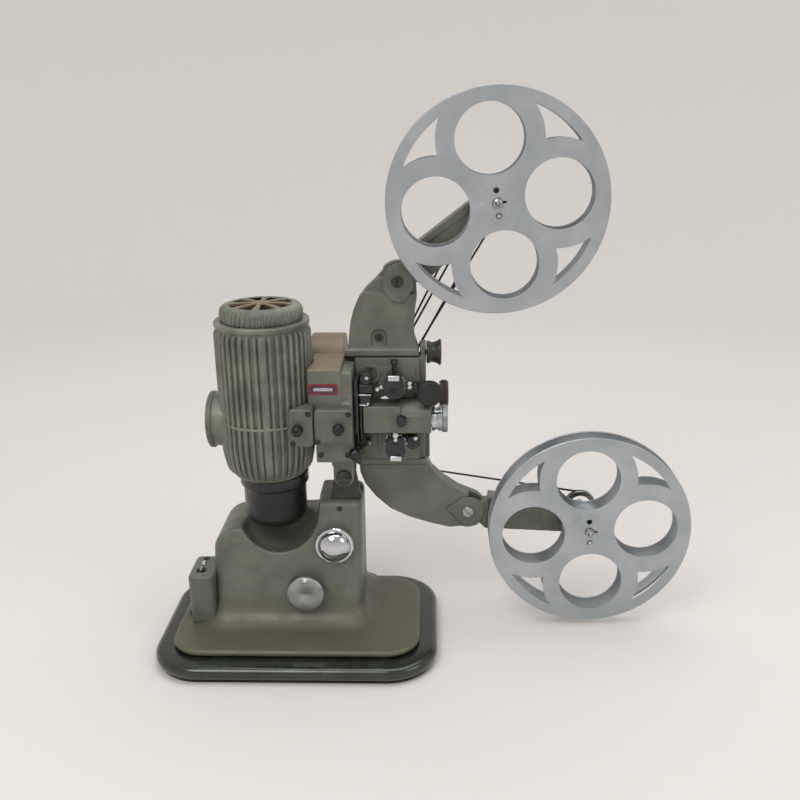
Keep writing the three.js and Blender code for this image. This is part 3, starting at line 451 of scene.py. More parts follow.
TILT_PIVOT = (42, 151)
dark_metal = surface("dark_metal", srgb(62, 64, 56), srgb(44, 46, 42), 70, 0.5, (0.35, 0.5), 1500, 0.00005,
                     coat=0.15)
steel = surface("steel", srgb(176, 178, 180), srgb(150, 152, 155), 60, 1, (0.2, 0.36), 2600, 0.00001)


def bevelled(piece, width, segments=3, angle=28):
    """Machined edges: a small round on every sharp edge."""
    edge = piece.modifiers.new("edge", "BEVEL")
    edge.width = width
    edge.segments = segments
    edge.limit_method = "ANGLE"
    edge.angle_limit = math.radians(angle)
    edge.use_clamp_overlap = True
    return settled(piece)


bracket = bevelled(solid(outline((56, 127.3), (54, 132.3), (*TILT_PIVOT, 9, 0, 180), (30, 132.3),
                                 (28, 127.3)), 12, 24), 0.6)
bracket.name = "tilt_bracket"
placed(bracket, "base", "dark_metal", dark_metal, "tilt_bracket")


def screw_head(radius, height, slot=0.9, steps=28):
    """A cheese-head screw about Z with its slot along X, standing on z = 0."""
    half = slot / 2
    left_half = outline((0, 0, radius, math.degrees(math.asin(half / radius)),
                         180 - math.degrees(math.asin(half / radius))), chord=360 / steps)
    parts = []
    for side in (1, -1):
        points = [(x, y * side) for x, y in left_half]
        inner = [(x * 0.86, y * 0.86 + side * 0.07 * radius) for x, y in points]
        rings = [[(x, y, 0) for x, y in points], [(x, y, height * 0.75) for x, y in points],
                 [(x, y, height) for x, y in inner]]
        parts.append(from_rings("head", rings))
    parts.append(turned("z", 0, 0, [(0, 0), (radius * 0.98, 0), (radius * 0.98, height * 0.4),
                                    (0, height * 0.4)], steps))
    return joined(*parts)


pin = joined(turned("y", *TILT_PIVOT, [(0, 2), (6.8, 1.6), (6.8, 3.7), (3, 3.7), (3, 32.4), (5.5, 32.4),
                                       (5.5, 35.2), (5, 35.5), (0, 35.5)], 40, "tilt_pin"),
             about(screw_head(6.6, 1.2, 1.3), "y", (42, 1.7, 151)))
placed(pin, "base", "steel", dark_metal, "tilt_pin")

# ---- lamp house -------------------------------------------------------------------------------
# A cast shell that cools itself with forty upright flutes. They taper into the foot at the bottom and
# end under a plain ledge at the top. A wider rib covers the casting's seam at the front.

LAMP_X, LAMP_R, FOOT, SHOULDER, LEDGE = -24, 40.7, 152, 283, 288
FLUTE_TOP = 283.4
FLUTES = 40
old_paint = surface("old_paint", srgb(128, 132, 118), srgb(96, 100, 88), 46, 0.2, (0.4, 0.56), 900, 0.00018,
                    coat=0.1)


def house_radius(z):
    """Outside of the flutes: the foot draws in towards the socket."""
    for (r0, z0), (r1, z1) in zip(HOUSE, HOUSE[1:]):
        if z <= z1:
            return r0 + (r1 - r0) * (z - z0) / (z1 - z0)
    return LAMP_R


HOUSE = [(34.2, FOOT), (36.9, 158), (38.7, 166), (40, 173), (LAMP_R, 181), (LAMP_R, SHOULDER)]
shell_profile = [(r - 3.2, z) for r, z in HOUSE[:-1]]
shell_profile += [(LAMP_R - 3.2, SHOULDER - 2), (LAMP_R - 2, SHOULDER), (39.2, 283.6), (40, 284.6),
                  (40, 287.2), (39.2, LEDGE), (34, LEDGE), (34, 270), (34.2, 176), (30.7, FOOT)]
shell = turned("z", 0, 0, shell_profile, 120, "lamp_shell")


def flute(half, depth, low, high, crown=7):
    """One flute about Z: a rounded bar that follows the shell and fades out at both ends."""
    rings = []
    for i in range(25):
        z = low + (high - low) * i / 24
        fade = (math.sqrt(max(0.0, 1 - max(0, 1 - (z - low) / crown) ** 2))
                * math.sqrt(max(0.0, 1 - max(0, 1 - (high - z) / 5) ** 2)))
        edge = house_radius(z) - 3.6
        rings.append([(edge + (depth + 0.4) * max(fade, 0.05) * math.cos(math.radians(a)) ** 0.55,
                       half * math.sin(math.radians(a)), z)
                      for a in (-90, -72, -50, -25, 0, 25, 50, 72, 90)])
    return from_rings("flute", rings)


flutes = about(grown("flutes", flute(1.8, 3.2, FOOT + 1, FLUTE_TOP), RING, Count=FLUTES, Sweep=math.tau,
                     Look=old_paint), "z", (0, 0, 0))
seam = flute(3.6, 3.0, FOOT + 1, FLUTE_TOP)
seam.data.transform(Matrix.Rotation(math.radians(-81), 4, "Z"))
tie = turned("z", 0, 0, [(37, 201.6), (40.2, 201.4), (40.8, 202.6), (40.2, 203.8), (37, 203.6)], 120)
lamp_house = joined(shell, flutes, seam, tie)
lamp_house.data.transform(Matrix.Translation((LAMP_X, FILM_Y, 0)))
placed(lamp_house, "head", "olive_paint", old_paint, "lamp_house", crease=40)

# ---- ventilator cap ---------------------------------------------------------------------------
# A domed cap with a finely fluted skirt. Eight wedge-shaped openings let the heat out round a hub.

CAP_LOW = 288.3
# Above 247.6 mm this paint turns brown, fully above 250.6 mm: partly rust and dust, partly painted warm light
# on the tops of the shutter housing, blower and cap crown.
aged_paint = surface("aged_paint", srgb(115, 119, 106), srgb(95, 99, 87), 46, 0.2, (0.42, 0.58), 900, 0.00018,
                     coat=0.08,
                     dust_and_warm_light=(srgb(122, 109, 88), 0.2476, 0.2506))
CAP_WALL = ((33.6, 0.4, 1, 0, 0.3), (33.6, 1.2, 1, 0, 1), (33.6, 7.4, 1, 0, 1), (33, 9.2, 0.94, 0.34, 1),
            (31.6, 11, 0.7, 0.71, 0.9),
            (29.6, 12.2, 0.4, 0.9, 0.5), (27.8, 12.8, 0.2, 0.98, 0.05))
cap_shell = turned("z", 0, 0, [(31, CAP_LOW)] + [(r, CAP_LOW + z - 0.4 * (i == 0))
                                                 for i, (r, z, *_) in enumerate(CAP_WALL)]
                   + [(26.4, CAP_LOW + 13), (25.8, CAP_LOW + 12.2), (26.2, CAP_LOW + 11.4),
                      (29.6, CAP_LOW + 9.6), (31, CAP_LOW + 7)], 120)
skirt = grown("skirt", from_rings("rib", [[(r + (1.6 * d * math.cos(math.radians(a)) - 0.4) * n,
                                            1.35 * math.sin(math.radians(a)),
                                            CAP_LOW + z + (1.6 * d * math.cos(math.radians(a)) - 0.4) * m)
                                            for a in (-90, -60, -30, 0, 30, 60, 90)]
                                          for r, z, n, m, d in CAP_WALL]), RING, Count=48, Sweep=math.tau,
                                          Look=old_paint)
spoke_path = [(4, 13.9), (8, 13.8), (14, 13.6), (20, 13.4), (26.4, 12.9)]
spoke = grown("spokes", from_rings("spoke", [[(r, -w, CAP_LOW + h - 1.8), (r, w, CAP_LOW + h - 1.8),
                                              (r, w, CAP_LOW + h - 0.3), (r, w - 0.4, CAP_LOW + h),
                                              (r, 0.4 - w, CAP_LOW + h), (r, -w, CAP_LOW + h - 0.3)]
                                             for (r, h), w in zip(spoke_path, (1.4, 1.6, 2, 2.5, 3.4))]),
                                             RING, Count=8, Sweep=math.tau, Look=aged_paint)
hub = turned("z", 0, 0, [(0, CAP_LOW + 11.6), (6.4, CAP_LOW + 11.6), (7.2, CAP_LOW + 12.6),
                         (7, CAP_LOW + 13.8), (5, CAP_LOW + 14.3), (0, CAP_LOW + 14.4)], 60)
crown = joined(spoke, hub)
crown.data.transform(Matrix.Translation((LAMP_X, FILM_Y, 0)))
crown.name = "cap_crown"
placed(crown, "head", "olive_paint", aged_paint, crease=40)
cap = joined(cap_shell, skirt)
cap.data.transform(Matrix.Translation((LAMP_X, FILM_Y, 0)))
cap.name = "lamp_house_cap"
placed(cap, "head", "olive_paint", old_paint, "lamp_house_cap", crease=40)
black_inside = surface("black_inside", srgb(30, 30, 28), srgb(20, 20, 19), 60, 0, (0.7, 0.85), 500, 0.0001)
baffle = turned("z", LAMP_X, FILM_Y, [(0, 294), (30, 294), (30, 295), (0, 295)], 60, "light_baffle")
placed(baffle, "head", "olive_paint", black_inside)

# ---- mirror housing ---------------------------------------------------------------------------
# The reflector's turned holder plugs into the left of the lamp house. Its rim is knurled for the hand.

mirror = turned("x", FILM_Y, OPTIC_Z, [(0, -70.1), (20.4, -70.1), (20.4, -54.6), (23, -54.6), (23, -68.2),
                                       (23.9, -69), (23.9, -72.6), (23, -73.4),
                                      (19.5, -73.6), (18.5, -72.8), (6, -72.6), (5, -73.2), (0, -73.4)], 96,
                                      "mirror_housing")
grip = about(knurl(24, 0, 3.6, 60, old_paint, 0.6), "x", (-72.8, FILM_Y, OPTIC_Z))
placed(joined(mirror, grip), "head", "olive_paint", old_paint, "mirror_housing")

# ---- lamp socket ------------------------------------------------------------------------------
# A moulded phenolic cup that the lamp stands in, with a collar under the lamp house.

bakelite = surface("bakelite", srgb(22, 22, 23), srgb(14, 14, 15), 80, 0, (0.3, 0.45), 600, 0.00003,
                   coat=0.08)
socket = turned("z", SOCKET_X, FILM_Y, [(0, 104), (14, 104), (18.4, 104.4), (21.6, 105.8), (24.2, 108.4),
                                        (26.2, 111.6), (27.2, 115), (27.4, 139.4), (28, 141),
                                        (29.5, 142), (29.9, 142.8), (29.9, 151), (29.4, 151.6), (22, 151.7),
                                        (22, 122), (0, 122)], 96, "lamp_socket")
placed(socket, "head", "bakelite", bakelite, "lamp_socket")

# ---- shutter housing --------------------------------------------------------------------------
# The square casting between lamp and gate, with a raised head that carries the maker's plate. The
# slide-out condenser box and the gate cover are screwed on its front by black thumb screws.

housing = cast("shutter_housing", [block(20, 51.6, -4, 47.7, 168, 221), block(15, 43, -4, 47.7, 219, 250.5),
                                   block(15, 51.6, -1.6, 47.7, 219, 247),
                                   block(40.3, 51.6, 46, 72.5, 172, 236), block(32, 51, 4, 32, 161.5, 170),
                                   solid(outline((51, 170), (33, 170), (*TILT_PIVOT, 9, 180, 360)), 4, 11.6),
                                   solid(outline((51, 170), (33, 170), (*TILT_PIVOT, 9, 180, 360)), 24.4,
                                         32)],
               [turned("z", LAMP_X, FILM_Y, [(0, 167), (40.9, 167), (40.9, 252), (0, 252)], 120),
                turned("y", *TILT_PIVOT, [(0, 0), (6.9, 0), (6.9, 4.2), (0, 4.2)], 40)],
               voxel=0.7, soft=6)
placed(housing, "head", "olive_paint", aged_paint, "shutter_housing", crease=60)
box_body = bevelled(solid(rounded(-0.5, 19.7, 186.6, 219.7, 3.4), -16, 5), 1.3, 4)
lamp_round = turned("z", LAMP_X, FILM_Y, [(0, 180), (40.9, 180), (40.9, 230), (0, 230)], 120)
condenser_box = cast("condenser_box", [box_body], [lamp_round], voxel=0.6, soft=3)
placed(condenser_box, "head", "olive_paint", olive_paint, "condenser_box", crease=60)
cover = cast("gate_cover", [bevelled(solid(rounded(20.2, 52.4, 188.5, 218.6, 4), -14, -4.3), 1.5, 4)], [],
             voxel=0.6, soft=3)
placed(cover, "head", "olive_paint", olive_paint, "gate_cover", crease=60)
for name, x, face in (("condenser_knob", 7.3, -16), ("cover_knob", 41, -14)):
    knob = turned("y", x, 203, [(0, face - 7.6), (1.2, face - 7.5), (1.7, face - 8.1), (3.0, face - 8.3),
                                (4.2, face - 7.6), (4.8, face - 6.2), (4.9, face - 3.2),
                                (4.3, face - 2.2), (2.6, face - 2), (2.6, face - 0.3), (0, face - 0.3)], 56,
                                name)
    placed(knob, name, "bakelite", bakelite, name)

# ---- small screws of the head -----------------------------------------------------------------
# Slotted cheese-head screws in blackened steel hold the covers, posts and plates. Each point of the
# pattern carries one screw, turned by its own angle.


def spots_tree():
    """Puts a copy of another piece on every point, turned by the point's own angles."""
    tree, node, given = wired("on_points", ("Model", "Object"), ("Look", "Material"))
    model = node("GeometryNodeObjectInfo", Object=given["Model"])
    angles = node("GeometryNodeInputNamedAttribute", Name="angles")
    angles.data_type = "FLOAT_VECTOR"
    copies = node("GeometryNodeInstanceOnPoints", Points=given["Piece"], Instance=model.outputs["Geometry"])
    tree.links.new(next(s for s in angles.outputs if s.enabled and s.name == "Attribute"),
                   copies.inputs["Rotation"])
    return ended(tree, node, copies.outputs[0], given["Look"])


ON_POINTS = spots_tree()
FACING = {"front": (90, 0, 0), "back": (-90, 0, 0), "right": (0, 90, 0), "left": (0, -90, 0), "up": (0, 0, 0)}


def scattered(name, model, spots, look):
    """Copies of a piece at (place, facing, turn) spots."""
    mesh = bpy.data.meshes.new(name)
    mesh.from_pydata([place for place, _, _ in spots], [], [])
    angles = mesh.attributes.new("angles", "FLOAT_VECTOR", "POINT")
    for i, (_, facing, turn) in enumerate(spots):
        stand = Euler([math.radians(a)
                       for a in FACING[facing]]).to_matrix() @ Matrix.Rotation(math.radians(turn), 3, "Z")
        angles.data[i].vector = stand.to_euler()
    made = grown(name, linked(name, mesh), ON_POINTS, Model=model, Look=look)
    bpy.data.objects.remove(model)
    return made


screws = scattered("head_screws", screw_head(2.4, 1.1, 0.7),
                   [((22.9, -14, 190.6), "front", 35), ((49.4, -14, 215), "front", 80),
                    ((2.6, -16, 189.8), "front", 10), ((16.4, -16, 216.2), "front", 120),
                    ((24, -4, 175), "front", 60), ((47, -4, 175), "front", 20),
                    ((-73.6, FILM_Y + 16, OPTIC_Z), "left", 30),
                    ((-73.6, FILM_Y - 16, OPTIC_Z), "left", 75)], dark_metal)
placed(screws, "head", "dark_metal", dark_metal)
base_screws = scattered("base_screws", screw_head(2.6, 0.9, 0.7),
                        [((37, 5.4, 120.6), "front", 20), ((-87, 14, 66), "up", 30),
                         ((-96, 15, 28), "left", 15),
                                                                 ((-96, -15, 28), "left", 65),
                                                                 ((20, 60, 96), "back", 20),
                                                                 ((-50, 60, 70), "back", 70)], dark_metal)
placed(base_screws, "base", "dark_metal", dark_metal)

# ---- maker's plate ----------------------------------------------------------------------------
# A small enamelled plate, red edge round a dark field with a plain silver bar, on two pins.

plate_red = surface("plate_red", srgb(132, 28, 46), srgb(112, 22, 40), 200, 0.2, (0.25, 0.35), 900, 0.00001,
                    coat=0.4)
plate_dark = surface("plate_dark", srgb(70, 34, 62), srgb(58, 26, 50), 200, 0.2, (0.25, 0.35), 900, 0.00001,
                     coat=0.4)
plate_silver = surface("plate_silver", srgb(190, 186, 192), srgb(170, 166, 174), 200, 0.9, (0.25, 0.4), 900,
                       0.00001)
for name, look, x0, x1, z0, z1, depth in (("plate_edge", plate_red, 15.6, 40.4, 228.6, 238.2, 0.7),
                                          ("plate_field", plate_dark, 17.4, 38.6, 230.2, 236.6, 0.85),
                                          ("plate_bar", plate_silver, 20, 36, 232, 234.9, 1.0)):
    bar = bevelled(solid(rounded(x0, x1, z0, z1, 1), -4 - depth + 0.4, -3.6), 0.15, 2)
    bar.name = name
    placed(bar, "head", "olive_paint", look)

# ---- gear case and mechanism plate ------------------------------------------------------------
# The case behind the film path, with an ear for the framing knob. Its front plate carries the film
# guides; a bright pin and a black guide block stand on it above the gate.

case = cast("gear_case", [block(52, 113, 33.3, 51, 157.5, 250.5),
                          solid(rounded(36, 49, 238, 263, 6), 108, 113, "x")], [], voxel=0.7, soft=4)
placed(case, "head", "olive_paint", olive_paint, "gear_case", crease=60)
plate = bevelled(solid(rounded(52, 107.5, 157.5, 250.5, 2), 30, 33), 0.7)
guide_ring = bevelled(turned("y", 65.5, 237, [(5.5, 27.5), (8.6, 27.5), (8.6, 31), (5.5, 31)], 48), 0.4)
pad_edge = bevelled(solid(outline((70.5, 214, 5, 90, 180), (65.5, 211), (104, 211), (104, 243.5),
                                  (70.5, 243.5)), 28.6, 31), 0.6)
low_pad = bevelled(solid(outline((87, 172, 17, 180, 360), (104, 190.5), (70, 190.5)), 28.6, 31), 0.6)
front_plate = joined(plate, guide_ring, pad_edge, low_pad)
front_plate.name = "mechanism_plate"
placed(front_plate, "head", "olive_paint", olive_paint, "mechanism_plate")
black_metal = surface("black_metal", srgb(46, 50, 53), srgb(28, 31, 34), 120, 0.6, (0.14, 0.28), 1500,
                      0.00002, coat=0.5)
guide_block = joined(bevelled(block(56.5, 68, 8, 30, 226, 233.4), 0.8),
                     bevelled(block(56.5, 66.5, 7, 30, 216.2, 224.6), 0.8),
                     turned("y", 62.5, 238, [(0, 9), (4.4, 9), (5, 9.8), (5, 24), (3, 24), (3, 30), (0, 30)],
                            40),
                     bevelled(block(60, 72, 20, 30, 184, 190.3), 0.7))
guide_block.name = "guide_block"
placed(guide_block, "head", "bakelite", black_metal)
trim = [bevelled(block(56, 67, 6.6, 8.4, 224.4, 225.4), 0.25),
        bevelled(block(57, 64.5, 6.2, 8, 215.4, 216.4), 0.25),
        turned("y", 63.5, 239.5, [(0, 7.4), (1.4, 7.7), (1.6, 9.4), (0, 9.4)], 24),
        turned("y", 64.2, 217.6, [(0, 5), (1.1, 5.4), (1.1, 7), (0, 7)], 20),
        bevelled(solid(outline((74.5, 220.5), (80.5, 222), (83, 220.5), (82, 218.6), (75, 218.8)), 14, 15.4),
                 0.3)]
trim += [turned("y", x, z, [(0, 12), (1.6, 12.5), (2, 14), (1.3, 15.5), (1.3, 30), (0, 30)], 24)
         for x, z in ((75.5, 230), (99.3, 233.2), (99.4, 229.8), (104, 183.5), (72, 228))]
bright = joined(*trim)
bright.name = "bright_trim"
placed(bright, "head", "chrome", chrome)
nuts = [turned("y", x, z, [(0, 21), (3.6, 21), (4.2, 21.8), (4.2, 30), (0, 30)], 36)
        for x, z in ((104, 226), (104, 186))]
dark_bosses = joined(*nuts, turned("z", 86.2, 24, [(0, 236), (2.2, 236), (2.2, 247), (3.2, 247.6),
                                                   (3.2, 250.4), (0, 250.4)], 32),
                     turned("y", 101.5, 177.5, [(0, 18), (5.6, 18), (6.4, 19), (6.4, 30), (0, 30)], 40))
dark_bosses.name = "film_rollers"
placed(dark_bosses, "head", "bakelite", black_metal)

# ---- film gate --------------------------------------------------------------------------------
# A black gate plate with the aperture and the claw's slot, and a steel pressure plate that slides on
# two pins. The claw stays as it was drawn for the mechanism.

aperture = block(50, 60, 15.2, 25.6, OPTIC_Z - 3.8, OPTIC_Z + 3.8)
claw_slot = block(50, 60, 26.6, 28.4, OPTIC_Z - 14, OPTIC_Z + 6)


def drilled(body, *tools):
    tool = joined(*tools)
    cut = body.modifiers.new("cut", "BOOLEAN")
    cut.operation = "DIFFERENCE"
    cut.solver = "EXACT"
    cut.object = tool
    settled(body)
    bpy.data.objects.remove(tool)
    return body


gate = drilled(bevelled(block(52.2, 56, 5, 29.7, 182, 238), 0.6), aperture, claw_slot)
gate.name = "gate_plate"
placed(gate, "head", "bakelite", black_metal, "gate_plate")
strip = bevelled(solid(rounded(52.2, 57.4, 162, 182, 1), 10, 29.8), 0.5)
strip.name = "gate_foot"
placed(strip, "head", "bakelite", black_metal)
pressure = drilled(bevelled(block(56.5, 58.8, 9, 29.7, 184, 214), 0.4),
                   block(55, 60, 14.4, 26.4, OPTIC_Z - 4.8, OPTIC_Z + 4.8))
pressure.name = "pressure_plate"
placed(pressure, "head", "steel", black_metal, "pressure_plate")

# ---- sprockets and guards ---------------------------------------------------------------------
# Two twelve-tooth steel drums draw the film. Each has a blackened guard with a chrome cap that swings
# about the drum's own axis.

UPPER_DRUM = (86.2, 229)
LOWER_DRUM = (87, 179)
for name, x, z, pulleys, end in (("upper_sprocket", *UPPER_DRUM, ((6.4, 72), (6.25, 56.5)), 76),
                                 ("lower_sprocket", *LOWER_DRUM, ((6.25, 56.5),), 61)):
    drum = turned("y", x, z, [(0, 9.4), (4, 9.4), (4.5, 9.8), (4.5, 11), (8.6, 11), (9, 11.4), (9, 13.4),
                              (8, 13.8), (8, 26.4), (9, 26.8), (9, 28.6), (8.6, 29),
                              (3.2, 29), (3.2, end), (0, end)], 64)
    tooth = from_rings("tooth", [[(r, -w, -w * 1.1), (r, w, -w * 1.1), (r, w, w * 1.1), (r, -w, w * 1.1)]
                                 for r, w in ((8.8, 0.6), (9.6, 0.5), (10.1, 0.2))])
    teeth = about(grown("teeth", tooth, RING, Count=12, Sweep=math.tau, Look=steel), "y", (x, 12.4, z))
    wheels = [turned("y", x, z, [(r - 1, y - 2.3), (r + 1.3, y - 2.4), (r + 1.6, y - 1.6), (r - 1.1, y - 0.7),
                                 (r - 1.1, y + 0.7), (r + 1.6, y + 1.6),
                                 (r + 1.3, y + 2.4), (r - 1, y + 2.3)], 56) for r, y in pulleys]
    placed(joined(drum, teeth, *wheels), name, "steel", steel, name)

for name, body, x, z, side in (("upper_sprocket_guard", "upper_guard", *UPPER_DRUM, 1),
                               ("lower_sprocket_guard", "lower_guard", *LOWER_DRUM, -1)):
    face = bevelled(solid([(x + u, z + side * v) for u, v in ((8.4, 6), (6.5, 11), (-6.5, 11), (-8.4, 6),
            (-8.4, -3.5), (-4.5, -7), (0, -8.5), (4.5, -7), (8.4, -3.5))], 6.5, 8.6), 0.5)
    shoe_arc = outline((x, z, 11.2, 90 * side - 40, 90 * side + 40),
                       (x, z, 9.7, 90 * side + 40, 90 * side - 40), chord=4)
    shoe = bevelled(solid(shoe_arc, 8, 27), 0.3)
    boss = turned("y", x, z - side * 0.5, [(0, 5.2), (1.5, 5.3), (1.9, 5.9), (2.6, 6.1), (2.8, 6.6),
                                           (0, 6.6)], 32)
    placed(joined(face, shoe, boss), body, "dark_metal", black_metal, name)
    low, high = sorted((z + side * 8.5, z + side * 13.5))
    cap_piece = bevelled(block(x - 5, x + 5, 3.5, 7.4, low, high), 1.1, 4)
    cap_piece.name = name + "_cap"
    placed(cap_piece, body, "chrome", chrome)
stud = joined(turned("y", 87, 189.6, [(0, 3), (2.2, 3.4), (3, 4.8), (2.6, 6.2), (1.6, 7), (1.6, 30), (0, 30)],
                     32),
              turned("y", 87, 185.2, [(0, 4), (1.6, 4.4), (2.1, 5.4), (1.4, 6.2), (0, 6.2)], 28))
stud.name = "guide_stud"
placed(stud, "head", "chrome", chrome)

# ---- clutch lever -----------------------------------------------------------------------------
# A bent steel stem with a black ball for the finger.

start, tip = Vector((62.5, 28.7, 174.5)), Vector((53, -9.5, 178))
stem = turned("z", 0, 0, [(0, 0), (1.6, 0), (1.5, (tip - start).length - 3), (0, (tip - start).length - 3)],
              24)
stem.data.transform(Matrix.Translation(start) @ (tip - start).to_track_quat("Z", "Y").to_matrix().to_4x4())
eye = bevelled(turned("x", 27, 174.8, [(0, 60.5), (3, 60.5), (3, 64.5), (0, 64.5)], 32), 0.3)
placed(joined(stem, eye), "clutch_lever", "steel", steel)
ball = turned("y", tip.x, tip.z, [(5 * math.sin(math.radians(a)), tip.y - 5 * math.cos(math.radians(a)))
                                  for a in range(0, 181, 9)], 40, "clutch_lever")
placed(ball, "clutch_lever", "bakelite", bakelite, "clutch_lever")

# ---- lens -------------------------------------------------------------------------------------
# The carrier is a painted casting screwed on the plate. The lens slides in it, with a knurled chrome
# ring, a dark flange and coated glass; its focus knob is black and knurled.

carrier = cast("lens_carrier", [bevelled(solid(rounded(59.6, 91.5, 190.8, 214.5, 1.5), 6, 29.7), 0.5),
                                block(90, 117.6, 6, FILM_Y, 190.8, 206),
                                turned("x", FILM_Y, 201.5, [(0, 90), (14.6, 90), (14.6, 117.6), (0, 117.6)],
                                       64), block(111, 117.6, 13.5, 27, 206, 214),
                                bevelled(block(111, 120.5, 13.5, 27, 212, 231), 1)],
               [block(50, 130, 29.7, 60, 180, 240), turned("x", FILM_Y, OPTIC_Z,
                       [(0, 58), (8.4, 58), (8.4, 119), (0, 119)], 48)], voxel=0.5, soft=3)
placed(carrier, "head", "olive_paint", olive_paint, "lens_carrier", crease=60)
barrel = turned("x", FILM_Y, OPTIC_Z, [(6.4, 64), (8, 64), (8, 118), (10.6, 118), (10.9, 118.4),
                                       (10.9, 120.8), (9.8, 121.3), (9.8, 122.7), (10.5, 123), (10.5, 127),
                                       (9.4, 127.4), (9, 127.2), (8.4, 124), (6.4, 118)], 96)
ring = about(knurl(10.5, 0, 3.6, 64, chrome, 0.4), "x", (123.2, FILM_Y, OPTIC_Z))
placed(joined(barrel, ring), "lens", "chrome", chrome, "lens_barrel")
hood = turned("x", FILM_Y, OPTIC_Z, [(8.6, 126.6), (11.4, 126.9), (11.9, 127.6), (11.9, 130.8), (11.4, 131.5),
                                     (9.6, 131.6), (8.4, 129), (8, 126.6)], 96, "lens_hood")
placed(hood, "lens", "chrome", aluminium)
glass = bpy.data.materials.new("lens_glass")
glass.use_nodes = True
coated = glass.node_tree.nodes["Principled BSDF"]
coated.inputs["Base Color"].default_value = (0.12, 0.13, 0.2, 1)
coated.inputs["Roughness"].default_value = 0.04
coated.inputs["Specular IOR Level"].default_value = 0.9
coated.inputs["Coat Weight"].default_value = 1.0
coated.inputs["Coat Tint"].default_value = (0.7, 0.75, 1, 1)
eye_glass = turned("x", FILM_Y, OPTIC_Z, [(0, 124.5)] + [(8.3, 124.5), (8.3, 126.4)]
                   + [(r, 126.4 + 1.8 * (1 - (r / 8.3) ** 2)) for r in (7, 5.5, 4, 2.5, 1)] + [(0, 128.2)],
                   64, "lens_front")
placed(eye_glass, "lens", "glass", glass)
rubber_black = surface("knob_black", srgb(30, 30, 32), srgb(20, 20, 22), 90, 0, (0.45, 0.6), 1200, 0.00006)
focus = turned("y", 116.2, 225.7, [(0, 5.2), (6, 5.2), (7, 4.7), (9.6, 4.7), (10.6, 5.5), (10.6, 11.2),
                                   (9.8, 12), (2.5, 12), (2.5, 27.5), (0, 27.5)], 80)
focus_grip = about(knurl(10.5, -11, -5.6, 48, rubber_black, 0.5), "y", (116.2, 0, 225.7))
placed(joined(focus, focus_grip), "focus_knob", "bakelite", rubber_black, "focus_knob")
lock = joined(turned("y", 92.6, 203, [(0, -0.2), (4.2, -0.1), (4.6, 0.8), (4.6, 5.7), (1.9, 5.7), (1.9, 8.6),
                                      (0, 8.6)], 48),
              about(screw_head(4.2, 1.0, 1.1), "y", (92.6, 0.1, 203)))
placed(lock, "lens_lock_screw", "bakelite", black_metal, "lens_lock_screw")
framer = turned("x", 42.5, 252.3, [(0, 109), (2.5, 109), (2.5, 113.5), (9.2, 113.5), (9.7, 114.2),
                                   (9.9, 115.6), (9, 116.8), (8.6, 118), (9, 120.6), (10.2, 123),
                                   (11.1, 124.6), (11.1, 125.6), (10, 126.2), (8, 126.4), (6.5, 125.4),
                                   (0, 125.2)], 72)
framer_grip = about(knurl(11, 0, 1.4, 44, dark_metal, 0.45), "x", (124.4, 42.5, 252.3))
placed(joined(framer, framer_grip), "framer_knob", "dark_metal", dark_metal, "framer_knob")
spring_strip = bevelled(solid(rounded(113, 116, 155.5, 177, 1), 40, 50), 0.4)
spring_strip.name = "case_strip"
placed(spring_strip, "head", "olive_paint", olive_paint)

# ---- motor and blower -------------------------------------------------------------------------
# A round-cornered blower casing behind the lamp, with louvres cut in its outer face, and the motor
# beside it with two bands and a hand-turning knob on the end of its shaft.

MOTOR = (80, 202)
blower = cast("blower_housing", [solid(rounded(48, 106, 158, 260, 27, 20), 10, 40, "x")],
              [block(23.6, 26.2, 40, 120, 156, 160.2), block(23.6, 26.2, 103.6, 108, 150, 270)], voxel=0.8,
              soft=5)
placed(blower, "head", "olive_paint", aged_paint, "blower_housing", crease=60)
motor = turned("x", *MOTOR, [(0, 50), (23, 50), (24.4, 51), (25, 53), (25, 56), (24.2, 56.5), (24.2, 58),
                             (25, 58.5), (25, 68.5), (24.2, 69), (24.2, 70.4), (25, 71), (24.6, 73),
                              (23, 76), (14, 78), (8.4, 78.8), (7.6, 82), (0, 82)], 96, "motor_housing")
slit = from_rings("slit", [[(24.3, -0.9, z), (24.3, 0.9, z), (25.2, 0.7, z), (25.2, -0.7, z)]
                           for z in (0, 9.4)])
bands = about(grown("fins", slit, RING, Count=36, Sweep=math.tau, Look=olive_paint), "x", (58.7, *MOTOR))
placed(joined(motor, bands), "head", "olive_paint", olive_paint, "motor_housing")
rotor = turned("x", *MOTOR, [(0, 81), (3, 81), (3, 113.6), (8.4, 113.6), (8.6, 114.4), (5.9, 115.3),
                             (5.9, 116.7), (8.6, 117.6), (8.4, 118.4), (3, 118.4), (3, 131), (0, 131)], 48,
                             "motor_shaft")
placed(rotor, "motor", "steel", steel, "motor_rotor")
hand = turned("x", *MOTOR, [(0, 125), (11.2, 125), (12.2, 126), (12.2, 132.2), (11.2, 133.2), (7, 133.4),
                            (6, 132.6), (0, 132.6)], 64)
brown_bakelite = surface("brown_bakelite", srgb(82, 66, 62), srgb(62, 50, 48), 90, 0, (0.4, 0.55), 900,
                         0.00003)
hand_grip = about(knurl(12.1, 0, 5.6, 52, brown_bakelite, 0.6), "x", (126.4, *MOTOR))
placed(joined(hand, hand_grip), "motor", "bakelite", brown_bakelite, "hand_turn_knob")
louvre = from_rings("louvre", [[(-8, -0.9, 0), (8, -0.9, 0), (8, 0.9, 0), (-8, 0.9, 0)],
                               [(-7.6, -0.7, 0.5), (7.6, -0.7, 0.5), (7.6, 0.7, 0.5), (-7.6, 0.7, 0.5)]])
louvres = scattered("louvres", louvre, [((25, 105.4, 180 + i * 6), "back", 0) for i in range(9)],
                    black_inside)
placed(louvres, "head", "olive_paint", black_inside)

# ---- arms -------------------------------------------------------------------------------------
# Two cast posts stand on the case, the upper one a swan neck. Each is half lapped with its outer arm
# on a pivot screw, and the spindles turn in the arms' ends.

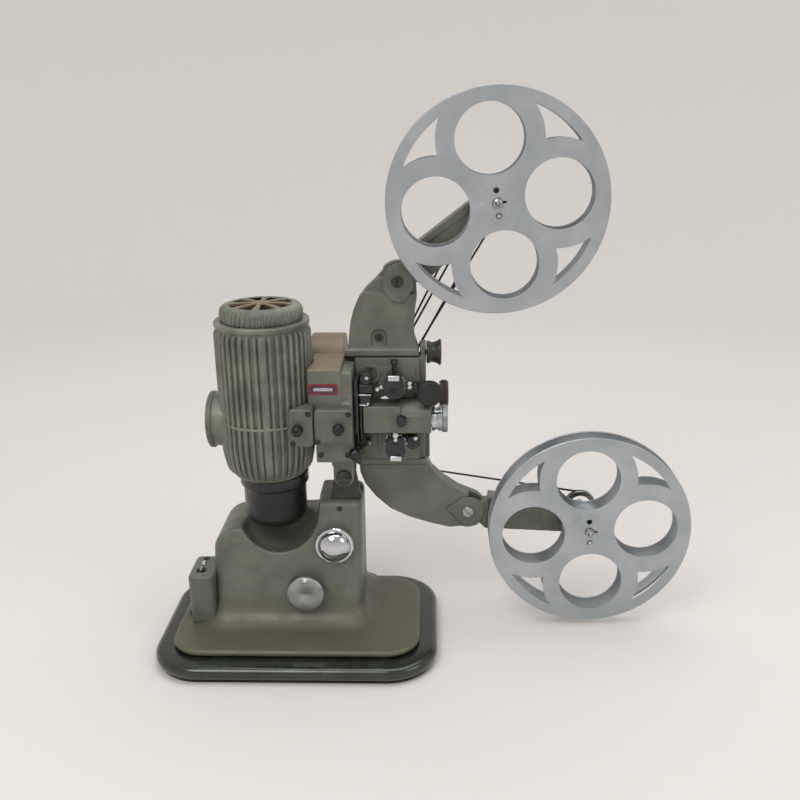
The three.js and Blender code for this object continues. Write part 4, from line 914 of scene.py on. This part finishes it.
UPPER_KNEE = (89.4, 316)
LOWER_KNEE = (150.5, 105.1)
UPPER_REEL = (170, 382)
LOWER_REEL = (256.9, 95.5)
NECK = outline((46.5, 257), (47, 266), (49, 281.5), (51.9, 292), (56, 301.2), (62.4, 309.6), (70, 316.6),
               (77, 324), (*UPPER_KNEE, 16, 140, 20),
               (105.6, 302), (104, 292), (103, 280), (103, 268), (106.5, 257))
neck_step = outline((40, 309.5), (72, 305.5), (110, 305.5), (110, 350), (40, 350))
upper_post = cast("upper_arm_post", [solid(NECK, 33.3, 50), bevelled(block(43.2, 107.1, 31.6, 50, 251.2,
        257.4), 1)],
                  [solid(outline(UPPER_KNEE, (*UPPER_KNEE, 21, -8, 172)), 32, 41.8), solid(neck_step, 30, 36),
                   turned("y", 73, 268, [(0, 30), (6.6, 30), (6.6, 36.2), (0, 36.2)], 40),
                   block(66.4, 79.6, 30, 36.2, 260, 268)], voxel=0.6, soft=4)
placed(upper_post, "head", "olive_paint", olive_paint, "upper_arm_post", crease=60)
gasket = joined(block(43.8, 106.8, 33.8, 49.6, 246.6, 251.5), block(52.4, 112.6, 33.8, 50.4, 156.8, 157.8))
gasket.name = "gaskets"
placed(gasket, "head", "olive_paint", black_inside)
LEG = outline((53, 156), (53.7, 144), (57.9, 132.4), (67.7, 119.3), (80.6, 107.6), (97.8, 99.2),
              (117.1, 93.1), (134, 89), (*LOWER_KNEE, 16, 250, 425),
              (142.2, 125.9), (128.2, 135.7), (118.2, 145.4), (113, 156))
lower_post = cast("lower_arm_post", [solid(LEG, 33.3, 50), bevelled(block(50.8, 113, 31.6, 50, 151.4, 157.2),
        1)],
                  [solid(outline(LOWER_KNEE, (*LOWER_KNEE, 21.4, -50, 88)), 32, 41.8)], voxel=0.6, soft=4)
placed(lower_post, "head", "olive_paint", olive_paint, "lower_arm_post", crease=60)


def outer_arm(name, knee, reel, cheek, half_knee):
    """The moving arm: a beam hollowed at the back, a web over the lap, and a raised cheek in front."""
    angle = math.atan2(reel[1] - knee[1], reel[0] - knee[0])
    length = math.dist(knee, reel)
    across = Matrix.Translation((knee[0], 0, knee[1])) @ Matrix.Rotation(-angle, 4, "Y")
    beam = solid(outline((17, -half_knee), (length, 0, 12, -80, 80), (17, half_knee)), 33.3, 50)
    web = solid([(8, -8), (18, -half_knee), (18, half_knee), (8, 8)], 32.4, 41.5)
    hollow = solid([(22, 4 - half_knee), (length - 16, -7), (length - 16, 7), (22, half_knee - 4)], 42.5, 51)
    panel = solid([(26, 5.5 - half_knee), (length - 20, -6), (length - 20, 6), (26, half_knee - 5.5)], 32,
                  33.9)
    for piece in (beam, web, hollow, panel):
        piece.data.transform(across)
    return cast(name, [beam, web, bevelled(solid(cheek, 31.5, 33.1), 0.5)], [hollow, panel], voxel=0.6,
                soft=4)


upper_cheek = outline((91.4, 318, 13.8, 60, 150), (76, 310), (83.4, 300), (90.4, 297.6), (96.4, 300),
                      (103.8, 312))
lower_cheek = outline((*LOWER_KNEE, 14.6, -110, 120), (130.5, 108.1))
placed(outer_arm("upper_arm", UPPER_KNEE, UPPER_REEL, upper_cheek, 15), "upper_arm", "olive_paint",
       olive_paint, "upper_arm", crease=60)
placed(outer_arm("lower_arm", LOWER_KNEE, LOWER_REEL, lower_cheek, 15.5), "lower_arm", "olive_paint",
       olive_paint, "lower_arm", crease=60)
for body, x, z, look, turn in (("upper_arm", *UPPER_KNEE, dark_metal, 90),
                               ("lower_arm", *LOWER_KNEE, steel, 45)):
    pivot = joined(about(screw_head(5, 1.5, 1.2, 40), "y", (x, 31.9, z)),
                   turned("y", x, z, [(0, 50), (7, 50), (7, 51.6), (5, 52), (5, 54), (0, 54)], 36))
    pivot.name = body + "_pivot"
    local = Matrix.Translation((x, 0, z)) @ Matrix.Rotation(math.radians(turn), 4,
            "Y") @ Matrix.Translation((-x, 0, -z))
    pivot.data.transform(local)
    placed(pivot, body, "dark_metal", look)
post_screws = scattered("post_screws", screw_head(3.6, 1.2, 0.9),
                        [((73, 36.4, 267), "front", 90), ((56, 33.2, 162), "front", 30),
                         ((99, 33, 247), "front", 65)], dark_metal)
placed(post_screws, "head", "dark_metal", dark_metal)

# ---- spindles ---------------------------------------------------------------------------------
# Steel shafts with a rounded nose and a key, a shoulder behind the reel, and grooved pulleys for the
# belts behind the arm.


def groove(x, z, radius, y):
    return turned("y", x, z, [(radius - 3, y - 2.3), (radius + 1.3, y - 2.4), (radius + 1.6, y - 1.6),
                              (radius - 1.1, y - 0.7), (radius - 1.1, y + 0.7),
                              (radius + 1.6, y + 1.6), (radius + 1.3, y + 2.4), (radius - 3, y + 2.3)], 72)


for name, body, x, z, pulleys, end in (("upper_spindle", "upper_reel", *UPPER_REEL,
                                        ((6.25, 56.5), (12.8, 72)), 76),
                                        ("lower_spindle", "lower_reel", *LOWER_REEL, ((13, 68),), 72)):
    shaft = turned("y", x, z, [(0, 4.2), (1.3, 4.5), (2.1, 5.4), (2.3, 6.4), (1.9, 7.4), (2.6, 8), (3.7, 8.4),
                               (3.9, 9), (3.9, 30.3), (11, 30.3), (11.5, 30.8), (11.5, 32),
                               (11, 32.4), (3.9, 32.4), (3.9, end), (0, end)], 48)
    placed(joined(shaft, *[groove(x, z, r, y) for r, y in pulleys]), body, "steel", steel, name)

# ---- reels ------------------------------------------------------------------------------------
# Two pressed aluminium flanges riveted to a hollow core. Four round holes and four curved windows
# lighten each flange, and two drive holes stand beside the keyed bore.

REEL_R, HOLE_R, HOLE_AT, CORE_R, GAP_HALF = 88.7, 27.6, 49.2, 20, 8.75
WINDOW_OUT, WINDOW_SIDE = 79.5, 42.5


def flat_sheet(name, outlines, low, high, round_edge):
    """Sheet metal cut to a set of outlines, drawn in X and Z, with softened edges."""
    curve = bpy.data.curves.new(name, "CURVE")
    curve.dimensions = "2D"
    curve.fill_mode = "BOTH"
    curve.extrude = (high - low) / 2 - round_edge
    curve.bevel_depth = round_edge
    curve.bevel_resolution = 1
    curve.offset = -round_edge
    for points in outlines:
        line = curve.splines.new("POLY")
        line.points.add(len(points) - 1)
        for spot, (u, v) in zip(line.points, points):
            spot.co = (u, v, 0, 1)
        line.use_cyclic_u = True
    made = settled_curve(name, curve)
    made.data.transform(Matrix.Translation((0, (low + high) / 2, 0)) @ TO_Y)
    return made


def settled_curve(name, curve):
    drawn = linked(name, curve)
    bpy.context.view_layer.update()
    mesh = bpy.data.meshes.new_from_object(drawn.evaluated_get(bpy.context.evaluated_depsgraph_get()))
    bpy.data.objects.remove(drawn)
    return linked(name, mesh)


def circle(u, v, radius, steps):
    return [(u + radius * math.cos(math.tau * i / steps), v + radius * math.sin(math.tau * i / steps))
            for i in range(steps)]


def softened_corners(points, radius, steps=4):
    """Cuts each real corner of an outline back with a small curve."""
    made = []
    for i, (u, v) in enumerate(points):
        here, before, after = Vector((u, v)), Vector(points[i - 1]), Vector(points[(i + 1) % len(points)])
        into, out = (here - before).normalized(), (after - here).normalized()
        if into.dot(out) > 0.85:
            made.append((u, v))
            continue
        a, b = here - into * radius, here + out * radius
        for k in range(steps + 1):
            t = k / steps
            made.append(tuple((1 - t) ** 2 * a + 2 * t * (1 - t) * here + t * t * b))
    return made


def window(middle):
    """An arc near the rim and two arcs struck from the centres of the holes beside it."""
    reach = math.acos((WINDOW_OUT ** 2 + HOLE_AT ** 2 - WINDOW_SIDE ** 2) / (2 * WINDOW_OUT * HOLE_AT))
    spread = math.radians(45) - reach
    half = HOLE_AT * math.sqrt(0.5)
    inner = half + math.sqrt(WINDOW_SIDE ** 2 - half ** 2)
    arc = [(WINDOW_OUT * math.cos(a), WINDOW_OUT * math.sin(a))
           for a in [-spread + 2 * spread * i / 12 for i in range(13)]]
    low_hole = (HOLE_AT * math.cos(math.radians(-45)), HOLE_AT * math.sin(math.radians(-45)))
    start_angle = math.atan2(-low_hole[1], inner - low_hole[0])
    end_angle = math.atan2(arc[0][1] - low_hole[1], arc[0][0] - low_hole[0])
    flank = [(low_hole[0] + WINDOW_SIDE * math.cos(a), low_hole[1] + WINDOW_SIDE * math.sin(a))
             for a in [start_angle + (end_angle - start_angle) * i / 10 for i in range(10)]]
    points = flank + arc + [(u, -v) for u, v in reversed(flank[1:])]
    points = softened_corners(points, 1.6)
    return [(u * math.cos(middle) - v * math.sin(middle), u * math.sin(middle) + v * math.cos(middle))
            for u, v in points]


spun = surface("spun_aluminium", srgb(186, 191, 195), srgb(168, 175, 180), 24, 1, (0.4, 0.52), 700, 0.000012)


def reel(name, x, z, turn):
    cuts = [circle(HOLE_AT * math.cos(a), HOLE_AT * math.sin(a), HOLE_R, 96)
            for a in [math.tau * i / 4 for i in range(4)]]
    cuts += [window(math.tau * (i + 0.5) / 4) for i in range(4)]
    drive = [circle(0, h, 2.35, 24) for h in (10, -10)]
    keyed = softened_corners(outline((0, 0, 4.2, 12, 348), (4.6, -0.9), (7, -0.9), (7, 0.9), (4.6, 0.9)), 0.1)
    front, back = FILM_Y - GAP_HALF, FILM_Y + GAP_HALF
    parts = []
    for low, high in ((front - 0.8, front), (back, back + 0.8)):
        parts.append(flat_sheet("flange", [circle(0, 0, REEL_R - 0.6, 192), *cuts, *drive, keyed], low, high,
                                0.15))
        inward = 0.5 if low < FILM_Y else -0.5
        parts.append(turned("y", 0, 0, [(REEL_R - 0.6 + 0.6 * math.cos(math.radians(a)), (low + high) / 2
                                         + inward + 0.9 * math.sin(math.radians(a)))
                                         for a in range(0, 360, 40)], 160))
    parts.append(flat_sheet("hub_plate", [circle(0, 0, 15.5, 72), *drive, keyed], front - 1.05, front - 0.6,
                            0.1))
    parts.append(turned("y", 0, 0, [(CORE_R - 0.8, front), (CORE_R, front), (CORE_R, back),
                                    (CORE_R - 0.8, back)], 96))
    rivet = turned("z", 0, 0, [(0, 0), (1.1, 0), (1.1, 0.2), (0.8, 0.45), (0, 0.5)], 16)
    rivet.data.transform(Matrix.Translation((12.6, 0, 0)))
    rivets = about(grown("rivets", rivet, RING, Count=6, Sweep=math.tau, Look=spun), "y", (0, front - 1.0, 0))
    parts.append(rivets)
    outer_rivet = turned("z", 0, 0, [(0, 0), (0.9, 0), (0.9, 0.15), (0.6, 0.3), (0, 0.35)], 14)
    outer_rivet.data.transform(Matrix.Translation((18.2, 0, 0)))
    parts.append(about(grown("tabs", outer_rivet, RING, Count=8, Sweep=math.tau, Look=spun), "y",
                       (0, front - 0.75, 0)))
    made = joined(*parts)
    made.name = name
    made.data.transform(Matrix.Translation((x, 0, z)) @ Matrix.Rotation(-math.radians(turn), 4, "Y"))
    placed(made, name, "aluminium", spun, name)
    nose_pin = turned("y", x + 10 * math.sin(math.radians(turn)), z - 10 * math.cos(math.radians(turn)),
                      [(0, 9), (1.4, 9.3), (1.9, 10.2), (1.9, 30.2), (0, 30.2)], 24, name + "_drive_pin")
    placed(nose_pin, name, "chrome", chrome)


reel("upper_reel", *UPPER_REEL, 7.8)
reel("lower_reel", *LOWER_REEL, 3.7)

# ---- spring belts -----------------------------------------------------------------------------
# Endless belts of closely wound steel wire, oiled almost black. Rings of wire follow each belt's line.

TAKEUP = (78, 131)

def coil_tree():
    """Threads rings of wire on a line, an even distance apart."""
    tree, node, given = wired("wound_wire", ("Pitch", "Float"), ("Coil radius", "Float"),
                              ("Wire radius", "Float"), ("Look", "Material"))
    line = node("GeometryNodeMeshToCurve", Mesh=given["Piece"])
    spaced = node("GeometryNodeCurveToPoints", Curve=line.outputs[0])
    spaced.mode = "LENGTH"
    tree.links.new(given["Pitch"], spaced.inputs["Length"])
    loop = node("GeometryNodeCurvePrimitiveCircle", Resolution=9)
    tree.links.new(given["Coil radius"], loop.inputs["Radius"])
    wire = node("GeometryNodeCurvePrimitiveCircle", Resolution=4)
    tree.links.new(given["Wire radius"], wire.inputs["Radius"])
    coil = node("GeometryNodeCurveToMesh", Curve=loop.outputs[0])
    tree.links.new(wire.outputs[0], coil.inputs["Profile Curve"])
    copies = node("GeometryNodeInstanceOnPoints", Points=spaced.outputs["Points"], Instance=coil.outputs[0])
    tree.links.new(spaced.outputs["Rotation"], copies.inputs["Rotation"])
    return ended(tree, node, copies.outputs[0], given["Look"])


COIL = coil_tree()
belt_wire = surface("belt_wire", srgb(58, 54, 52), srgb(36, 33, 32), 400, 0.9, (0.3, 0.45), 2000, 0.00001)


def belt_line(a, ra, b, rb):
    """The closed line of an open belt round two pulleys, in the plane of the belt."""
    away = math.atan2(b[1] - a[1], b[0] - a[0])
    lean = math.acos((ra - rb) / math.dist(a, b))
    points = []
    for (u, v), r, start_at, sweep in ((a, ra, away + lean, math.tau - 2 * lean),
                                       (b, rb, away - lean, 2 * lean)):
        count = max(8, int(abs(sweep) * r / 0.8))
        points += [(u + r * math.cos(start_at + sweep * i / count), v
                    + r * math.sin(start_at + sweep * i / count)) for i in range(count + 1)]
    return points


def spring_belt(name, a, ra, b, rb, place, axis="y"):
    line = belt_line(a, ra, b, rb)
    at = (lambda u, v: (u, place, v)) if axis == "y" else (lambda u, v: (place, u, v))
    mesh = bpy.data.meshes.new(name)
    mesh.from_pydata([at(u, v) for u, v in line], [(i, (i + 1) % len(line)) for i in range(len(line))], [])
    made = grown(name, linked(name, mesh), COIL, **{"Pitch": 0.72, "Coil radius": 0.8, "Wire radius": 0.29,
                                                    "Look": belt_wire})
    mesh = made.data
    mesh.transform(Matrix.Scale(0.001, 4))
    mesh.materials.clear()
    mesh.materials.append(belt_wire)
    mesh.shade_smooth()
    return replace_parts(made, name)


upper_root, lower_root = UPPER_DRUM, LOWER_DRUM
takeup_root = TAKEUP
for name, ra, rb, y in (("feed_belt", 6.4, 12.8, 72), ("rewind_belt", 6.25, 6.25, 56.5)):
    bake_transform(spring_belt(name, upper_root, ra, UPPER_REEL, rb, y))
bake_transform(spring_belt("takeup_belt", takeup_root, 6.3, LOWER_REEL, 13, 68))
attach(spring_belt("takeup_drive_belt", lower_root, 6.25, takeup_root, 6.25, 56.5), "head")
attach(spring_belt("motor_belt", (41.5, 204), 7, MOTOR, 7, 116, "x"), "head")

# ---- take-up shaft and main shaft -------------------------------------------------------------
# A short shaft with two pulleys and a plain weight disc between them, and the main shaft's bright end.

takeup = turned("y", *TAKEUP, [(0, 37), (3.2, 37), (3.2, 60), (18.4, 60), (19, 60.6), (19, 63.8),
                               (18.4, 64.4), (3.2, 64.4), (3.2, 72), (0, 72)], 64, "takeup_pulley")
placed(joined(takeup, groove(*TAKEUP, 6.25, 56.5), groove(*TAKEUP, 6.3, 68)), "takeup_pulley", "steel", steel,
       "takeup_pulley")
main_end = turned("x", 41.5, 204, [(0, 42.4), (3, 42.4), (3, 113.6), (8.4, 113.6), (8.6, 114.4), (5.9, 115.3),
                                   (5.9, 116.7), (8.6, 117.6), (8.4, 118.4), (0, 118.5)], 48, "main_shaft")
placed(main_end, "main_drive", "steel", steel, "main_shaft")

# ---- pieces kept as drawn ---------------------------------------------------------------------
# Pad, lamp, reflector and the parts shut inside keep their shape and take a real finish.

felt = surface("felt", srgb(44, 47, 42), srgb(30, 33, 29), 300, 0, (0.9, 1.0), 2600, 0.0002)
porcelain = surface("porcelain", srgb(214, 206, 190), srgb(196, 188, 172), 120, 0, (0.35, 0.5), 900, 0.00003)
for look, nodes in ((felt, ("base_pad",)), (chrome, ("reflector",)), (porcelain, ("speed_resistor",)),
                    (glass, ("lamp_bulb", "condenser_lens")), (steel, ("claw",)),
                    (brass, ("upper_sprocket_gear", "lower_sprocket_gear")), (dark_metal, ("shutter",)),
                    (aluminium, ("fan_wheel",))):
    for node_name in nodes:
        for slot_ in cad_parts[node_name].material_slots:
            slot_.material = look

# ---- stage ------------------------------------------------------------------------------------
# A pale sweep that curves up all round, soft lights and the camera.

sweep_profile = [(0.0, 0.0), (1.3, 0.0)] + [(1.3 + 0.9 * math.sin(math.radians(a)),
                                             0.9 - 0.9 * math.cos(math.radians(a)))
                                             for a in range(6, 85, 6)] + [(2.25, 1.9)]
rows = [[(r * math.cos(math.tau * i / 96), r * math.sin(math.tau * i / 96), z) for i in range(96)]
        for r, z in sweep_profile[1:]]
floor_mesh = bmesh.new()
middle = floor_mesh.verts.new((0, 0, 0))
grid = [[floor_mesh.verts.new(p) for p in row] for row in rows]
for i in range(96):
    floor_mesh.faces.new((middle, grid[0][i], grid[0][(i + 1) % 96]))
    for a, b in zip(grid, grid[1:]):
        floor_mesh.faces.new((a[i], b[i], b[(i + 1) % 96], a[(i + 1) % 96]))
mesh = bpy.data.meshes.new("sweep")
floor_mesh.to_mesh(mesh)
floor_mesh.free()
mesh.shade_smooth()
floor = linked("sweep", mesh)
paper = bpy.data.materials.new("paper")
paper.use_nodes = True
paper.node_tree.nodes["Principled BSDF"].inputs["Base Color"].default_value = srgb(222, 219, 216)
paper.node_tree.nodes["Principled BSDF"].inputs["Roughness"].default_value = 0.75
floor.data.materials.append(paper)


def lamp(name, place, aim, size, power, colour=(1, 1, 1)):
    light = bpy.data.lights.new(name, "AREA")
    light.shape = "DISK"
    light.size = size
    light.energy = power
    light.color = colour
    made = bpy.data.objects.new(name, light)
    bpy.context.scene.collection.objects.link(made)
    made.location = place
    made.rotation_euler = (Vector(aim) - Vector(place)).to_track_quat("-Z", "Y").to_euler()


lamp("key", (-0.5, -1.1, 1.75), (0, 0, 0.2), 1.1, 14, (1, 0.97, 0.95))
lamp("top", (0.3, 0.3, 2.1), (0, 0, 0.1), 1.8, 17, (1, 0.97, 0.96))
lamp("side", (1.5, -0.7, 1.1), (0, 0, 0.2), 0.9, 4, (0.97, 0.98, 1))
world = bpy.data.worlds.new("room")
world.use_nodes = True
world.node_tree.nodes["Background"].inputs["Color"].default_value = (0.95, 0.945, 0.935, 1)
world.node_tree.nodes["Background"].inputs["Strength"].default_value = 0.56
bpy.context.scene.world = world

camera = bpy.data.objects.new("camera", bpy.data.cameras.new("camera"))
bpy.context.scene.collection.objects.link(camera)
camera.data.lens = 40.806
camera.data.sensor_width = 36
camera.data.clip_end = 50
ahead = Vector((-0.0363, 0.99934, 0)).normalized()
down = math.radians(18.63)
forward = (ahead * math.cos(down) - Vector((0, 0, 1)) * math.sin(down)).normalized()
level = forward.cross(Vector((0, 0, 1))).normalized()
upright = level.cross(forward)
roll = math.radians(-0.8)
right = level * math.cos(roll) + upright * math.sin(roll)
above = upright * math.cos(roll) - level * math.sin(roll)
camera.matrix_world = Matrix.Translation((0.1175, -0.715, 0.464)) @ Matrix((right, above,
        -forward)).transposed().to_4x4()
bpy.context.scene.camera = camera
bpy.context.scene.view_settings.view_transform = "Standard"
